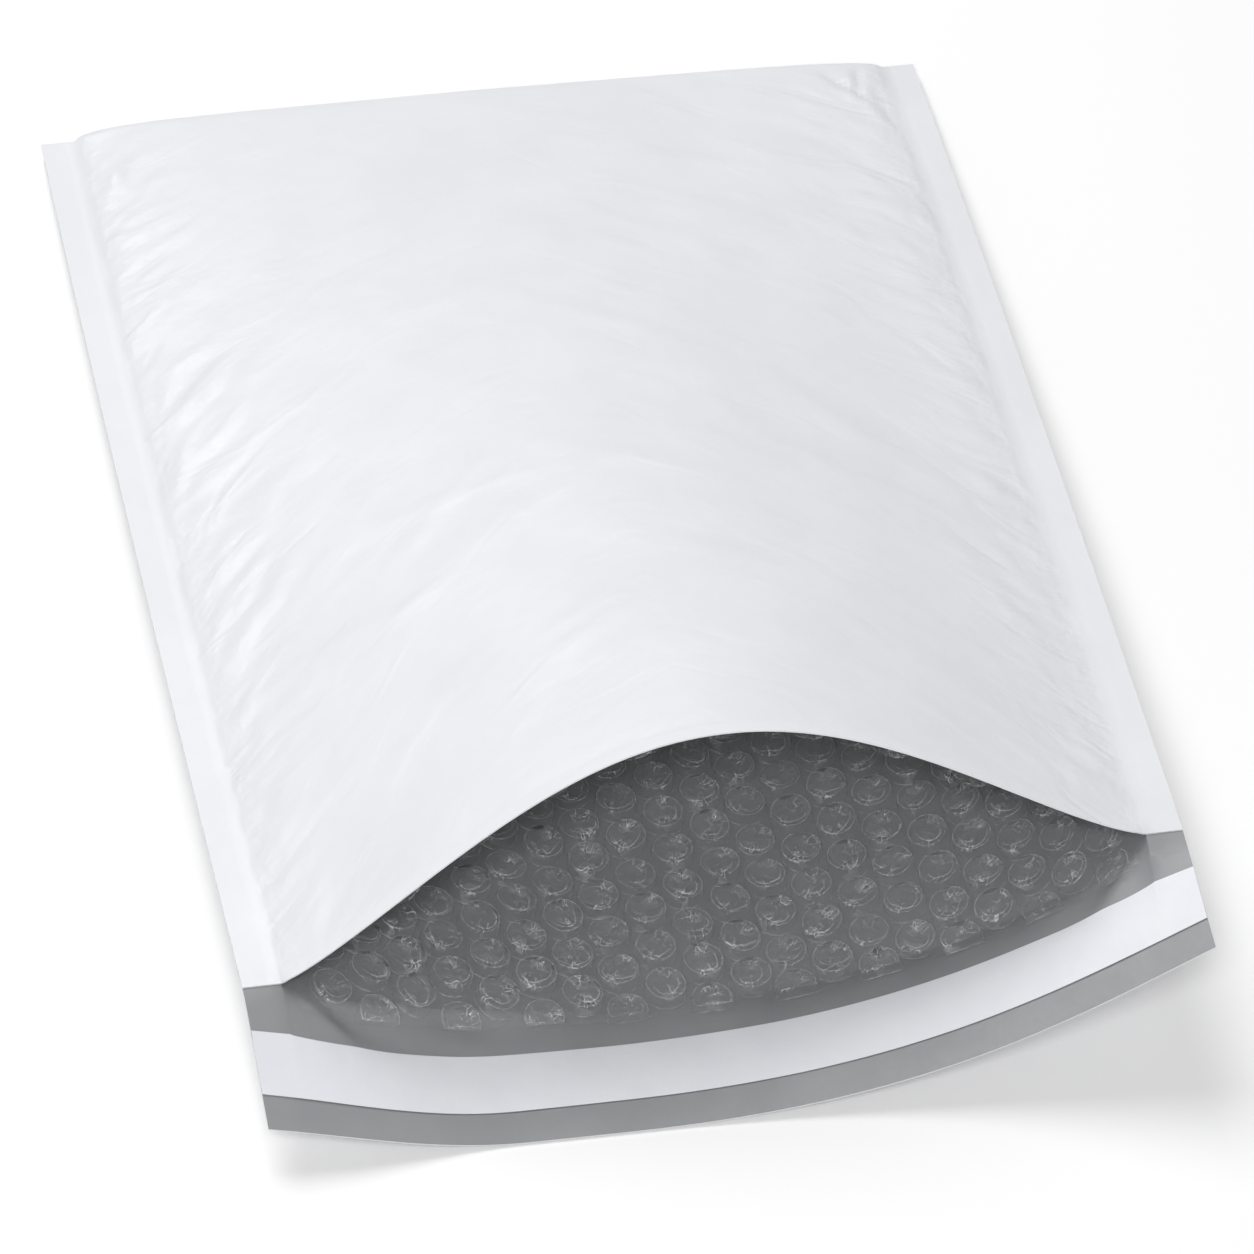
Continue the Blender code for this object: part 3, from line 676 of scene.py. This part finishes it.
def cup_points(centres, heights, chance):
    """Points of every cup: three rings raised along the cup's own normal, then the top's middle."""
    count, turn = len(centres), CUP_TURNS
    swell = 1 + SWELL * np.sin(2 * turn + chance.uniform(0, 7, (count, 1)))
    tilt = chance.uniform(*TILT, (count, 1)) * np.cos(turn + chance.uniform(0, 7, (count, 1)))
    inward = -outward(centres[:, 0] / HALF, centres[:, 1])
    points = []
    for share, rise in zip(RING_SHARES, RING_RISES):
        radius = BUBBLE_DIAMETER / 2 * share * swell
        x = np.clip(centres[:, :1] + radius * np.cos(turn), -LINER_HALF, LINER_HALF)
        w = centres[:, 1:] + radius * np.sin(turn)
        w = np.clip(w, LINER_FRONT_INSET, LINER_END + CUT_OVERHANG)
        up = LINER_DEPTH + heights[:, None] * (rise - tilt * rise * rise)
        points.append(film_surface(x / HALF, w) + up[..., None] * inward[:, None])
    top = (LINER_DEPTH + heights * chance.uniform(*SAG, count))[:, None] * inward
    middle = film_surface(centres[:, 0] / HALF, np.minimum(centres[:, 1], LINER_END)) + top
    return np.concatenate([*points, middle[:, None]], 1)


def cup_faces(count):
    """Quads between the rings of every cup, and a fan of triangles over its top."""
    ring = np.arange(CUP_MIDDLE).reshape(-1, CUP_SIDES)
    ring = np.concatenate([ring, ring[:, :1]], 1)
    cap = np.stack([ring[-1, 1:], ring[-1, :-1], np.full(CUP_SIDES, CUP_MIDDLE)], -1)
    offsets = np.arange(count)[:, None, None] * CUP_SIZE
    quads = (np.array(grid_faces(ring))[None] + offsets).reshape(-1, 4).tolist()
    return quads + (cap[None] + offsets).reshape(-1, 3).tolist()


# %% Numbers for the cups' finish
PLACE_LEAN, PLACE_SHIFT, LIVELINESS = 0.30, 0.12, (0.45, 1.1)


def cup_places(count, chance):
    """For each point: its place within its cup, turned a little by chance, and the cup's liveliness,
    which scales its painted glints.
    """
    circle = np.stack([np.cos(CUP_TURNS), np.sin(CUP_TURNS)], -1)
    across, along = np.concatenate([*(circle * share for share in RING_SHARES), [[0, 0]]]).T
    lean = chance.normal(0, PLACE_LEAN, (count, 1))
    shift_x, shift_y = (chance.uniform(-PLACE_SHIFT, PLACE_SHIFT, (count, 1)) for _ in range(2))
    x = across * np.cos(lean) - along * np.sin(lean) + shift_x
    y = across * np.sin(lean) + along * np.cos(lean) + shift_y
    own = np.broadcast_to(chance.uniform(*LIVELINESS, (count, 1)), x.shape)
    return np.stack([x, y, own], -1)


def make_cups(name, centres, heights, seed):
    """All cups of a field as one object, with the numbers that its finish reads."""
    chance = np.random.default_rng(seed)
    points = cup_points(centres, heights, chance).reshape(-1, 3)
    ring = np.tile(np.append(np.repeat(RING_NUMBERS, CUP_SIDES), 0), len(centres))
    numbers = {"ring": ring, "place": cup_places(len(centres), chance).reshape(-1, 3)}
    return make_piece(name, points, cup_faces(len(centres)), close=False, numbers=numbers)


# %% The whole field of bubbles: how full they are, and how many have gone flabby
FULLNESS, FLABBY_SHARE, FLABBY_FULLNESS = (0.86, 1.0), 0.10, 0.7
chance = np.random.default_rng(3)
fullness = chance.uniform(*FULLNESS, len(centres))
fullness[chance.random(len(centres)) < FLABBY_SHARE] *= FLABBY_FULLNESS
bubbles = make_cups("bubbles", centres, room_for(centres) * fullness, 17)

# %% [markdown]
# The sheet was cut straight through its bubbles, and the ones on the cut have lost their air. They lie
# along the back mouth as low, crumpled half discs, one in every second column.

# %% Cut bubbles along the back mouth
CUT_INSET, CUT_HEIGHT = 0.0012, (0.0017, 0.0030)
cut_x = np.unique(np.round(back_bubbles[:, 0], 6))[1::2]
cut = np.stack([cut_x, np.full(len(cut_x), LINER_END - CUT_INSET)], -1)
cut_heights = np.random.default_rng(9).uniform(*CUT_HEIGHT, len(cut))
cut_bubbles = make_cups("cut_bubbles", cut, cut_heights, 29)

# %% [markdown]
# ## The closing strip
#
# A band of sticky hot-melt crosses the flap under a white release liner. Both follow the flap, so they
# come from the same surface, each a hair further in than the last.

# %% Adhesive and release liner
STRIP_START, STRIP_WIDTH, ADHESIVE_INSET = 0.0106, 0.0154, 0.0015
ADHESIVE_SHOWN, RELEASE_SHOWN = 0.00015, 0.00012
ADHESIVE_UNDER, RELEASE_UNDER, RELEASE_RIPPLE = 0.00003, 0.00022, 0.00025
STRIP_COLUMNS, STRIP_ROWS = 161, 9
RIPPLES, LEAST_RIPPLE, MOST_RIPPLE, RIPPLE_SLANT = 6, (0.3, 40, 0), (1, 260, 7), 0.4


def make_strip(name, first, last, under, thickness, ripple):
    """Band across the flap between two stations, lifted off it by under, with faint cross ripples."""
    u = np.concatenate([[-WELD_EDGE], np.linspace(-1, 1, STRIP_COLUMNS), [WELD_EDGE]])
    w = np.linspace(first, last, STRIP_ROWS)
    base = film_surface(u[None], w[:, None])
    normal = outward(u[None], w[:, None])
    chance = np.random.default_rng(41)
    slant = u[None] * HALF + RIPPLE_SLANT * w[:, None]
    waves = [chance.uniform(LEAST_RIPPLE, MOST_RIPPLE) for _ in range(RIPPLES)]
    wave = sum(size * np.sin(rate * slant + start) for size, rate, start in waves) / RIPPLES
    across = np.sin(math.pi * (w - first) / (last - first))[:, None]
    lift = under + ripple * (0.5 + 0.5 * wave) * (0.4 + 0.6 * across)
    low = base - lift[..., None] * normal
    high = base - (lift + thickness)[..., None] * normal
    return make_thin_sheet(name, low, high)


strip_first = MOUTH_BACK + STRIP_START
strip_last = strip_first + STRIP_WIDTH
adhesive = make_strip("adhesive_band", strip_first + ADHESIVE_INSET, strip_last - ADHESIVE_INSET,
                      ADHESIVE_UNDER, ADHESIVE_SHOWN, 0.0)
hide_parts("adhesive_strip")
release = make_strip("release_band", strip_first, strip_last,
                     RELEASE_UNDER, RELEASE_SHOWN, RELEASE_RIPPLE)
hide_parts("release_liner")

# %% [markdown]
# ## Finishes
#
# Each layer has its own small graph of nodes, and the graphs share a few helpers: noise, sums and
# products, a mix of two colours, a bump of a real height, and a thin line where a value passes a level.


# %% A new material
def new_material(name, colour, roughness):
    """Principled material with a plain base colour; returns it with its nodes, links and shader."""
    material = bpy.data.materials.new(name)
    material.use_nodes = True
    tree = material.node_tree
    shader = tree.nodes["Principled BSDF"]
    shader.inputs["Base Color"].default_value = (*colour, 1)
    shader.inputs["Roughness"].default_value = roughness
    return material, tree, shader


# %% Noise and straight maps
def stretched_noise(tree, vector, stretch, detail, bend=0.0, scale=1.0):
    """Noise over a vector, with its own scale in each direction, and bent by a share."""
    mapping = tree.nodes.new("ShaderNodeMapping")
    mapping.inputs["Scale"].default_value = stretch
    texture = tree.nodes.new("ShaderNodeTexNoise")
    texture.inputs["Scale"].default_value = scale
    texture.inputs["Detail"].default_value = detail
    texture.inputs["Distortion"].default_value = bend
    tree.links.new(vector, mapping.inputs["Vector"])
    tree.links.new(mapping.outputs["Vector"], texture.inputs["Vector"])
    return texture.outputs["Fac"]


def noise(tree, scale, detail, stretch=(1, 1, 1)):
    """Noise over the object's own coordinates, per metre, and stretched along an axis if asked."""
    place = tree.nodes.new("ShaderNodeTexCoord").outputs["Object"]
    return stretched_noise(tree, place, stretch, detail, scale=scale)


def remap(tree, value, low, high, to_low, to_high):
    """Straight map of a value from one range to another, held at its ends."""
    node = tree.nodes.new("ShaderNodeMapRange")
    tree.links.new(value, node.inputs["Value"])
    names = ("From Min", "From Max", "To Min", "To Max")
    for name, number in zip(names, (low, high, to_low, to_high)):
        node.inputs[name].default_value = number
    return node.outputs["Result"]


# %% Sums and products
def math_node(tree, kind, first, second):
    """One arithmetic step between two values, or a value and a number."""
    node = tree.nodes.new("ShaderNodeMath")
    node.operation = kind
    for socket, value in zip(node.inputs, (first, second)):
        if isinstance(value, (int, float)):
            socket.default_value = value
        else:
            tree.links.new(value, socket)
    return node.outputs["Value"]


def plus(tree, first, second):
    """Sum of two values, or of a value and a number."""
    return math_node(tree, "ADD", first, second)


def minus(tree, first, second):
    """First value less the second."""
    return math_node(tree, "SUBTRACT", first, second)


def times(tree, first, second):
    """Product of two values, or of a value and a number."""
    return math_node(tree, "MULTIPLY", first, second)


# %% Colours and bumps
def two_colours(tree, value, first, second):
    """Mix of two colours by a value."""
    node = tree.nodes.new("ShaderNodeMix")
    node.data_type = "RGBA"
    node.inputs["A"].default_value = (*first, 1)
    node.inputs["B"].default_value = (*second, 1)
    tree.links.new(value, node.inputs["Factor"])
    return node.outputs["Result"]


def cloudy(tree, scale, first, second):
    """Soft drift between two colours over the whole piece."""
    return two_colours(tree, remap(tree, noise(tree, scale, 3), 0.35, 0.65, 0, 1), first, second)


def bumped(tree, shader, height, distance):
    """Bump of a real height in metres on the shader's normal."""
    node = tree.nodes.new("ShaderNodeBump")
    node.inputs["Strength"].default_value = 1.0
    node.inputs["Distance"].default_value = distance
    tree.links.new(height, node.inputs["Height"])
    tree.links.new(node.outputs["Normal"], shader.inputs["Normal"])


# %% Stored numbers and thin lines
def attribute(tree, name, output):
    """A number or a vector that the mesh carries for each point."""
    node = tree.nodes.new("ShaderNodeAttribute")
    node.attribute_name = name
    return node.outputs[output]


def line_at(tree, value, level, half_width, peak):
    """Peak where the value is at the level, and 0 from half a width away."""
    away = math_node(tree, "ABSOLUTE", minus(tree, value, level), 0)
    return remap(tree, away, 0.0, half_width, peak, 0.0)


# %% [markdown]
# ### The film, white outside and grey inside
#
# Polyethylene film has a satin gloss. One plain colour would look like card, because what tells the eye
# that this is film is how its gloss breaks up. So a fine noise changes the roughness, a softer one is
# the slight orange peel, and the wrinkles that are too fine for the mesh run along the stored grain.


# %% White outer film
# The lip colour is a painted sheen: the film is made lighter along the mouth's lip
WHITE, WHITE_LIP_SHEEN = (0.76, 0.765, 0.795), (0.79, 0.795, 0.82)
WHITE_LOW, WHITE_HIGH = (0.75, 0.757, 0.787), (0.775, 0.782, 0.807)


def fine_wrinkles(tree):
    """Height of the fine wrinkles: soft folds along the grain, and small puckers beside a weld."""
    place = attribute(tree, "grain", "Vector")
    strength = attribute(tree, "slack", "Fac")
    broad = minus(tree, stretched_noise(tree, place, (36, 92, 14), 2, 1.1), 0.5)
    thin = minus(tree, stretched_noise(tree, place, (80, 240, 30), 1, 0.8), 0.5)
    lumps = minus(tree, noise(tree, 300, 1), 0.5)
    lumps = times(tree, lumps, remap(tree, strength, 0.88, 0.98, 0.0, 0.55))
    folds = plus(tree, times(tree, broad, 1.7), times(tree, thin, 0.16))
    return times(tree, plus(tree, folds, lumps), strength)


def white_film():
    """Satin white film with a painted sheen that makes it lighter along the mouth's lip, and its fine
    wrinkles as a bump.
    """
    material, tree, shader = new_material("white_film", WHITE, 0.46)
    tint = two_colours(tree, attribute(tree, "lip", "Fac"), WHITE, WHITE_LIP_SHEEN)
    tree.links.new(cloudy(tree, 38, WHITE_LOW, WHITE_HIGH), tint.node.inputs["A"])
    tree.links.new(tint, shader.inputs["Base Color"])
    fine = noise(tree, 900, 2)
    tree.links.new(remap(tree, fine, 0.3, 0.7, 0.37, 0.49), shader.inputs["Roughness"])
    soft = times(tree, noise(tree, 130, 2), 0.3)
    height = plus(tree, times(tree, fine, 0.03), soft)
    bumped(tree, shader, plus(tree, height, fine_wrinkles(tree)), 0.0006)
    return material


# %% Grey inner face of the film
GREY, GREY_LOW, GREY_HIGH = (0.27, 0.275, 0.285), (0.265, 0.27, 0.28), (0.295, 0.30, 0.31)


def grey_film():
    """Satin grey face of the film, with a soft drift of its tone."""
    material, tree, shader = new_material("grey_film", GREY, 0.42)
    tree.links.new(cloudy(tree, 45, GREY_LOW, GREY_HIGH), shader.inputs["Base Color"])
    fine = noise(tree, 800, 2)
    tree.links.new(remap(tree, fine, 0.3, 0.7, 0.38, 0.5), shader.inputs["Roughness"])
    height = plus(tree, times(tree, fine, 0.12), noise(tree, 110, 2))
    bumped(tree, shader, height, 0.00018)
    return material


# %% [markdown]
# ### The clear film of the cushioning
#
# Light bent through hundreds of thin cups would be slow to work out and come out noisy, and most of the
# film doesn't show anyway. So it is nearly clear: its alpha is low on the tops and higher where the
# film is seen edge on, at the shoulder and the foot of a cup, along a wavy arc inside its shoulder, and
# in fine folds and crumples. Those are the places where clear film looks white. Glints are painted on
# as well: the rims are stronger and the arc shows on one side of each cup only, and the folds and pale
# facets gather at two places of each cup, whichever way the lamps shine.


# %% Places within a cup, for its painted glints
def near_place(tree, place, middle, reach):
    """1 at a place within the cup and 0 from reach away, in shares of the cup's radius."""
    away = tree.nodes.new("ShaderNodeVectorMath")
    away.operation = "DISTANCE"
    flat = tree.nodes.new("ShaderNodeVectorMath")
    flat.operation = "MULTIPLY"
    tree.links.new(place, flat.inputs[0])
    flat.inputs[1].default_value = (1, 1, 0)
    tree.links.new(flat.outputs["Vector"], away.inputs[0])
    away.inputs[1].default_value = (*middle, 0)
    return remap(tree, away.outputs["Value"], 0.0, reach, 1.0, 0.0)


# %% Folds and crumples of a cup
def facets(tree, scale):
    """Crumpled film: a network of fine lines, and one chance number for each facet between them."""
    place = tree.nodes.new("ShaderNodeTexCoord").outputs["Object"]
    lines = tree.nodes.new("ShaderNodeTexVoronoi")
    lines.feature = "DISTANCE_TO_EDGE"
    cells = tree.nodes.new("ShaderNodeTexVoronoi")
    for node in (lines, cells):
        node.inputs["Scale"].default_value = scale
        tree.links.new(place, node.inputs["Vector"])
    split = tree.nodes.new("ShaderNodeSeparateColor")
    tree.links.new(cells.outputs["Color"], split.inputs["Color"])
    return lines.outputs["Distance"], split.outputs["Red"]


def cup_parts(tree):
    """What a cup's points carry: ring number, place in the cup, its two shares, and liveliness."""
    place = attribute(tree, "place", "Vector")
    split = tree.nodes.new("ShaderNodeSeparateXYZ")
    tree.links.new(place, split.inputs["Vector"])
    return attribute(tree, "ring", "Fac"), place, *split.outputs


def folds_to_rim(tree, ring, across, along, own):
    """Fine folds of the film that run from a cup's middle out to its rim, as thin lines."""
    spot = tree.nodes.new("ShaderNodeCombineXYZ")
    tree.links.new(math_node(tree, "ARCTAN2", along, across), spot.inputs["X"])
    tree.links.new(ring, spot.inputs["Y"])
    tree.links.new(times(tree, own, 60), spot.inputs["Z"])
    wave = stretched_noise(tree, spot.outputs["Vector"], (2.6, 1.2, 1), 0)
    return line_at(tree, wave, 0.5, 0.030, 1.3)


# %% Clear film of the cups
def painted_glint_places(tree, place, own):
    """Two places across from each other on a cup where painted glints lie, times its liveliness."""
    near = near_place(tree, place, (-0.25, 0.66), 0.66)
    return times(tree, plus(tree, near_place(tree, place, (0.34, -0.40), 0.62), near), own)


def cup_rims(tree, ring, along):
    """Lines at the ring numbers of shoulder, foot and a wavy arc, made stronger on one side of the cup
    by a painted highlight.
    """
    # Painted highlight: the shoulder and foot lines are stronger on one side of the cup
    side = remap(tree, along, -1.0, 1.0, 0.75, 1.7)
    side = times(tree, side, remap(tree, noise(tree, 420, 1), 0.36, 0.6, 0.45, 1.0))
    shoulder = times(tree, line_at(tree, ring, 0.985, 0.06, 0.25), side)
    foot = times(tree, line_at(tree, ring, 2.0, 0.17, 0.22), side)
    wavy = plus(tree, ring, remap(tree, noise(tree, 200, 0), 0.2, 0.8, -0.2, 0.2))
    arc = line_at(tree, wavy, 0.74, 0.06, 0.52)
    # Painted reflection: the arc shows on that side of the cup only
    arc = times(tree, arc, remap(tree, along, 0.0, 0.6, 0.08, 1.0))
    return plus(tree, plus(tree, shoulder, foot), arc)


def cup_crumples(tree, ring, folds, glint_share):
    """The larger of the folds and a broken net of lines on a cup's top, shown mostly at the painted
    glints; and pale facets there, painted highlights.
    """
    edges, facet = facets(tree, 480)
    broken = remap(tree, noise(tree, 760, 1), 0.46, 0.54, 0.0, 1.0)
    net = times(tree, remap(tree, edges, 0.0, 0.08, 0.75, 0.0), broken)
    stroke = math_node(tree, "MAXIMUM", folds, net)
    stroke = times(tree, stroke, plus(tree, glint_share, 0.08))
    stroke = times(tree, stroke, remap(tree, ring, 1.0, 1.3, 1.0, 0.1))
    return stroke, times(tree, remap(tree, facet, 0.58, 0.62, 0.0, 0.30), glint_share)


def cup_film():
    """Clear film whose alpha is the sum of a cup's rims, crumples, facets and edge-on sides; painted
    glints gather its crumples and facets at two places.
    """
    material, tree, shader = new_material("clear_bubble_film", (0.97, 0.97, 0.98), 0.2)
    shader.inputs["Metallic"].default_value = 0.15
    ring, place, across, along, own = cup_parts(tree)
    folds = folds_to_rim(tree, ring, across, along, own)
    # Painted glints: crumples and pale facets gather at two fixed places on each cup
    stroke, glint_patch = cup_crumples(tree, ring, folds, painted_glint_places(tree, place, own))
    edge = tree.nodes.new("ShaderNodeLayerWeight")
    sides = remap(tree, edge.outputs["Facing"], 0.55, 1.0, 0.0, 0.36)
    total = plus(tree, plus(tree, cup_rims(tree, ring, along), stroke), plus(tree, glint_patch, sides))
    tree.links.new(plus(tree, total, 0.022), shader.inputs["Alpha"])
    bumped(tree, shader, noise(tree, 420, 3), 0.0012)
    return material


# %% Clear flat film of the cushioning
def sheet_film():
    """Clear flat film: almost nothing shows of it but its gloss and a few crumpled lines."""
    material, tree, shader = new_material("clear_sheet_film", (0.80, 0.82, 0.84), 0.16)
    shader.inputs["Metallic"].default_value = 0.3
    crumple = noise(tree, 300, 3)
    line = line_at(tree, crumple, 0.5, 0.02, 0.06)
    tree.links.new(plus(tree, line, 0.045), shader.inputs["Alpha"])
    bumped(tree, shader, crumple, 0.0008)
    return material


# %% [markdown]
# ### Adhesive and release paper
#
# Hot-melt is smooth and glossy, and hardly shows while the paper covers it. The release liner is
# white paper with a hard, smooth coat. It is a little less glossy than the film, and its noise is
# stretched, because the fibres of paper lie mostly one way.


# %% Adhesive and release paper
PAPER, PAPER_LOW, PAPER_HIGH = (0.76, 0.77, 0.81), (0.745, 0.757, 0.80), (0.77, 0.782, 0.82)


def glue():
    """Glossy, slightly yellow hot-melt."""
    material, tree, shader = new_material("clear_adhesive", (0.72, 0.71, 0.66), 0.25)
    tree.links.new(remap(tree, noise(tree, 500, 2), 0.3, 0.7, 0.18, 0.34), shader.inputs["Roughness"])
    bumped(tree, shader, noise(tree, 260, 2), 0.0003)
    return material


def release_paper():
    """White silicone-coated paper with short fibres."""
    material, tree, shader = new_material("release_paper", PAPER, 0.48)
    tree.links.new(cloudy(tree, 60, PAPER_LOW, PAPER_HIGH), shader.inputs["Base Color"])
    fibre = noise(tree, 1400, 3, (1, 0.35, 1))
    tree.links.new(remap(tree, fibre, 0.3, 0.7, 0.42, 0.56), shader.inputs["Roughness"])
    bumped(tree, shader, plus(tree, times(tree, fibre, 0.1), noise(tree, 90, 2)), 0.0004)
    return material


# %% Each piece gets its finish
film_bag.data.materials.append(white_film())
film_bag.data.materials.append(grey_film())
cushion_sheet.data.materials.append(sheet_film())
cups = cup_film()
bubbles.data.materials.append(cups)
cut_bubbles.data.materials.append(cups)
adhesive.data.materials.append(glue())
release.data.materials.append(release_paper())
print("materials:", sorted(material.name for material in bpy.data.materials if material.users))

# %% [markdown]
# ## The stage
#
# A large soft lamp stands high at the back, a little to the left, so that the arch of the mouth shades
# the pocket and the shadow falls to the right and towards the viewer. A weaker one in front reaches
# into the mouth, and the world fills the rest evenly. The floor glows a little, for the camera only,
# so that it comes out white without more light on the mailer.


# %% Floor
FLOOR_REACH, FLOOR_HEIGHT, FLOOR_GLOW = 3.0, -0.0002, 0.06


def make_floor():
    """Large matt floor just below the mailer, with its glow."""
    mesh = bpy.data.meshes.new("floor")
    corners = [(FLOOR_REACH * x, FLOOR_REACH * y, FLOOR_HEIGHT) for x, y in
               ((-1, -1), (1, -1), (1, 1), (-1, 1))]
    mesh.from_pydata(corners, [], [(0, 1, 2, 3)])
    floor = bpy.data.objects.new("floor", mesh)
    bpy.context.collection.objects.link(floor)
    material, tree, shader = new_material("pale_floor", (0.9, 0.9, 0.9), 0.9)
    shader.inputs["Specular IOR Level"].default_value = 0.0
    path = tree.nodes.new("ShaderNodeLightPath")
    lift = times(tree, path.outputs["Is Camera Ray"], FLOOR_GLOW)
    tree.links.new(lift, shader.inputs["Emission Strength"])
    shader.inputs["Emission Color"].default_value = (1, 1, 1, 1)
    mesh.materials.append(material)
    return floor


make_floor()


# %% Lamps and world
LAMP_AIM = Vector((0, 0, 0.02))


def make_lamp(name, place, size, power):
    """Round soft lamp, with its size in metres and power in watts, turned to the mailer."""
    lamp = bpy.data.lights.new(name, "AREA")
    lamp.shape = "DISK"
    lamp.size = size
    lamp.energy = power
    item = bpy.data.objects.new(name, lamp)
    item.location = place
    item.rotation_euler = (LAMP_AIM - Vector(place)).to_track_quat("-Z", "Y").to_euler()
    bpy.context.collection.objects.link(item)
    return item


make_lamp("key", (-0.38, 0.98, 1.60), 1.3, 21.9)
make_lamp("front_fill", (-0.32, -1.12, 1.28), 0.5, 11.6)


def make_world(strength):
    """Even light of the given strength; the camera itself sees plain white behind the floor."""
    world = bpy.data.worlds.new("studio")
    bpy.context.scene.world = world
    world.use_nodes = True
    tree = world.node_tree
    path = tree.nodes.new("ShaderNodeLightPath")
    mix = tree.nodes.new("ShaderNodeMixShader")
    tree.links.new(path.outputs["Is Camera Ray"], mix.inputs["Fac"])
    light, seen = tree.nodes["Background"], tree.nodes.new("ShaderNodeBackground")
    for number, (node, power) in enumerate(((light, strength), (seen, 1.0)), 1):
        node.inputs["Color"].default_value = (1, 1, 1, 1)
        node.inputs["Strength"].default_value = power
        tree.links.new(node.outputs["Background"], mix.inputs[number])
    tree.links.new(mix.outputs["Shader"], tree.nodes["World Output"].inputs["Surface"])


make_world(0.33)
bpy.context.scene.view_settings.view_transform = "Standard"

# %% [markdown]
# ## The camera
#
# A long lens far away, as in a catalogue picture. Its place is given by the angles at which it looks
# down and round, its distance, and a slight roll.

# %% Camera
AIM = Vector((0.002975, FORWARD[0] - 0.03619, 0.0005))
DISTANCE = 1.6559
ELEVATION, AZIMUTH, ROLL = math.radians(46.60), math.radians(13.88), math.radians(4.12)
FRAME_PIXELS, FOCAL_PIXELS, SENSOR = 1254, 6573, 36.0

facing = Vector((math.sin(AZIMUTH), math.cos(AZIMUTH), 0))
ahead = facing * math.cos(ELEVATION) - Vector((0, 0, math.sin(ELEVATION)))
right = Vector((math.cos(AZIMUTH), -math.sin(AZIMUTH), 0))
up = facing * math.sin(ELEVATION) + Vector((0, 0, math.cos(ELEVATION)))
camera_x = math.cos(ROLL) * right + math.sin(ROLL) * up
camera_y = -math.sin(ROLL) * right + math.cos(ROLL) * up
lens = bpy.data.cameras.new("camera")
lens.sensor_width = SENSOR
lens.lens = FOCAL_PIXELS / FRAME_PIXELS * SENSOR
lens.clip_end = 20
camera = bpy.data.objects.new("camera", lens)
bpy.context.collection.objects.link(camera)
turn = Matrix((camera_x, camera_y, -ahead)).transposed().to_4x4()
camera.matrix_world = Matrix.Translation(AIM - DISTANCE * ahead) @ turn
bpy.context.scene.camera = camera
print("lens:", round(lens.lens, 1), "mm")
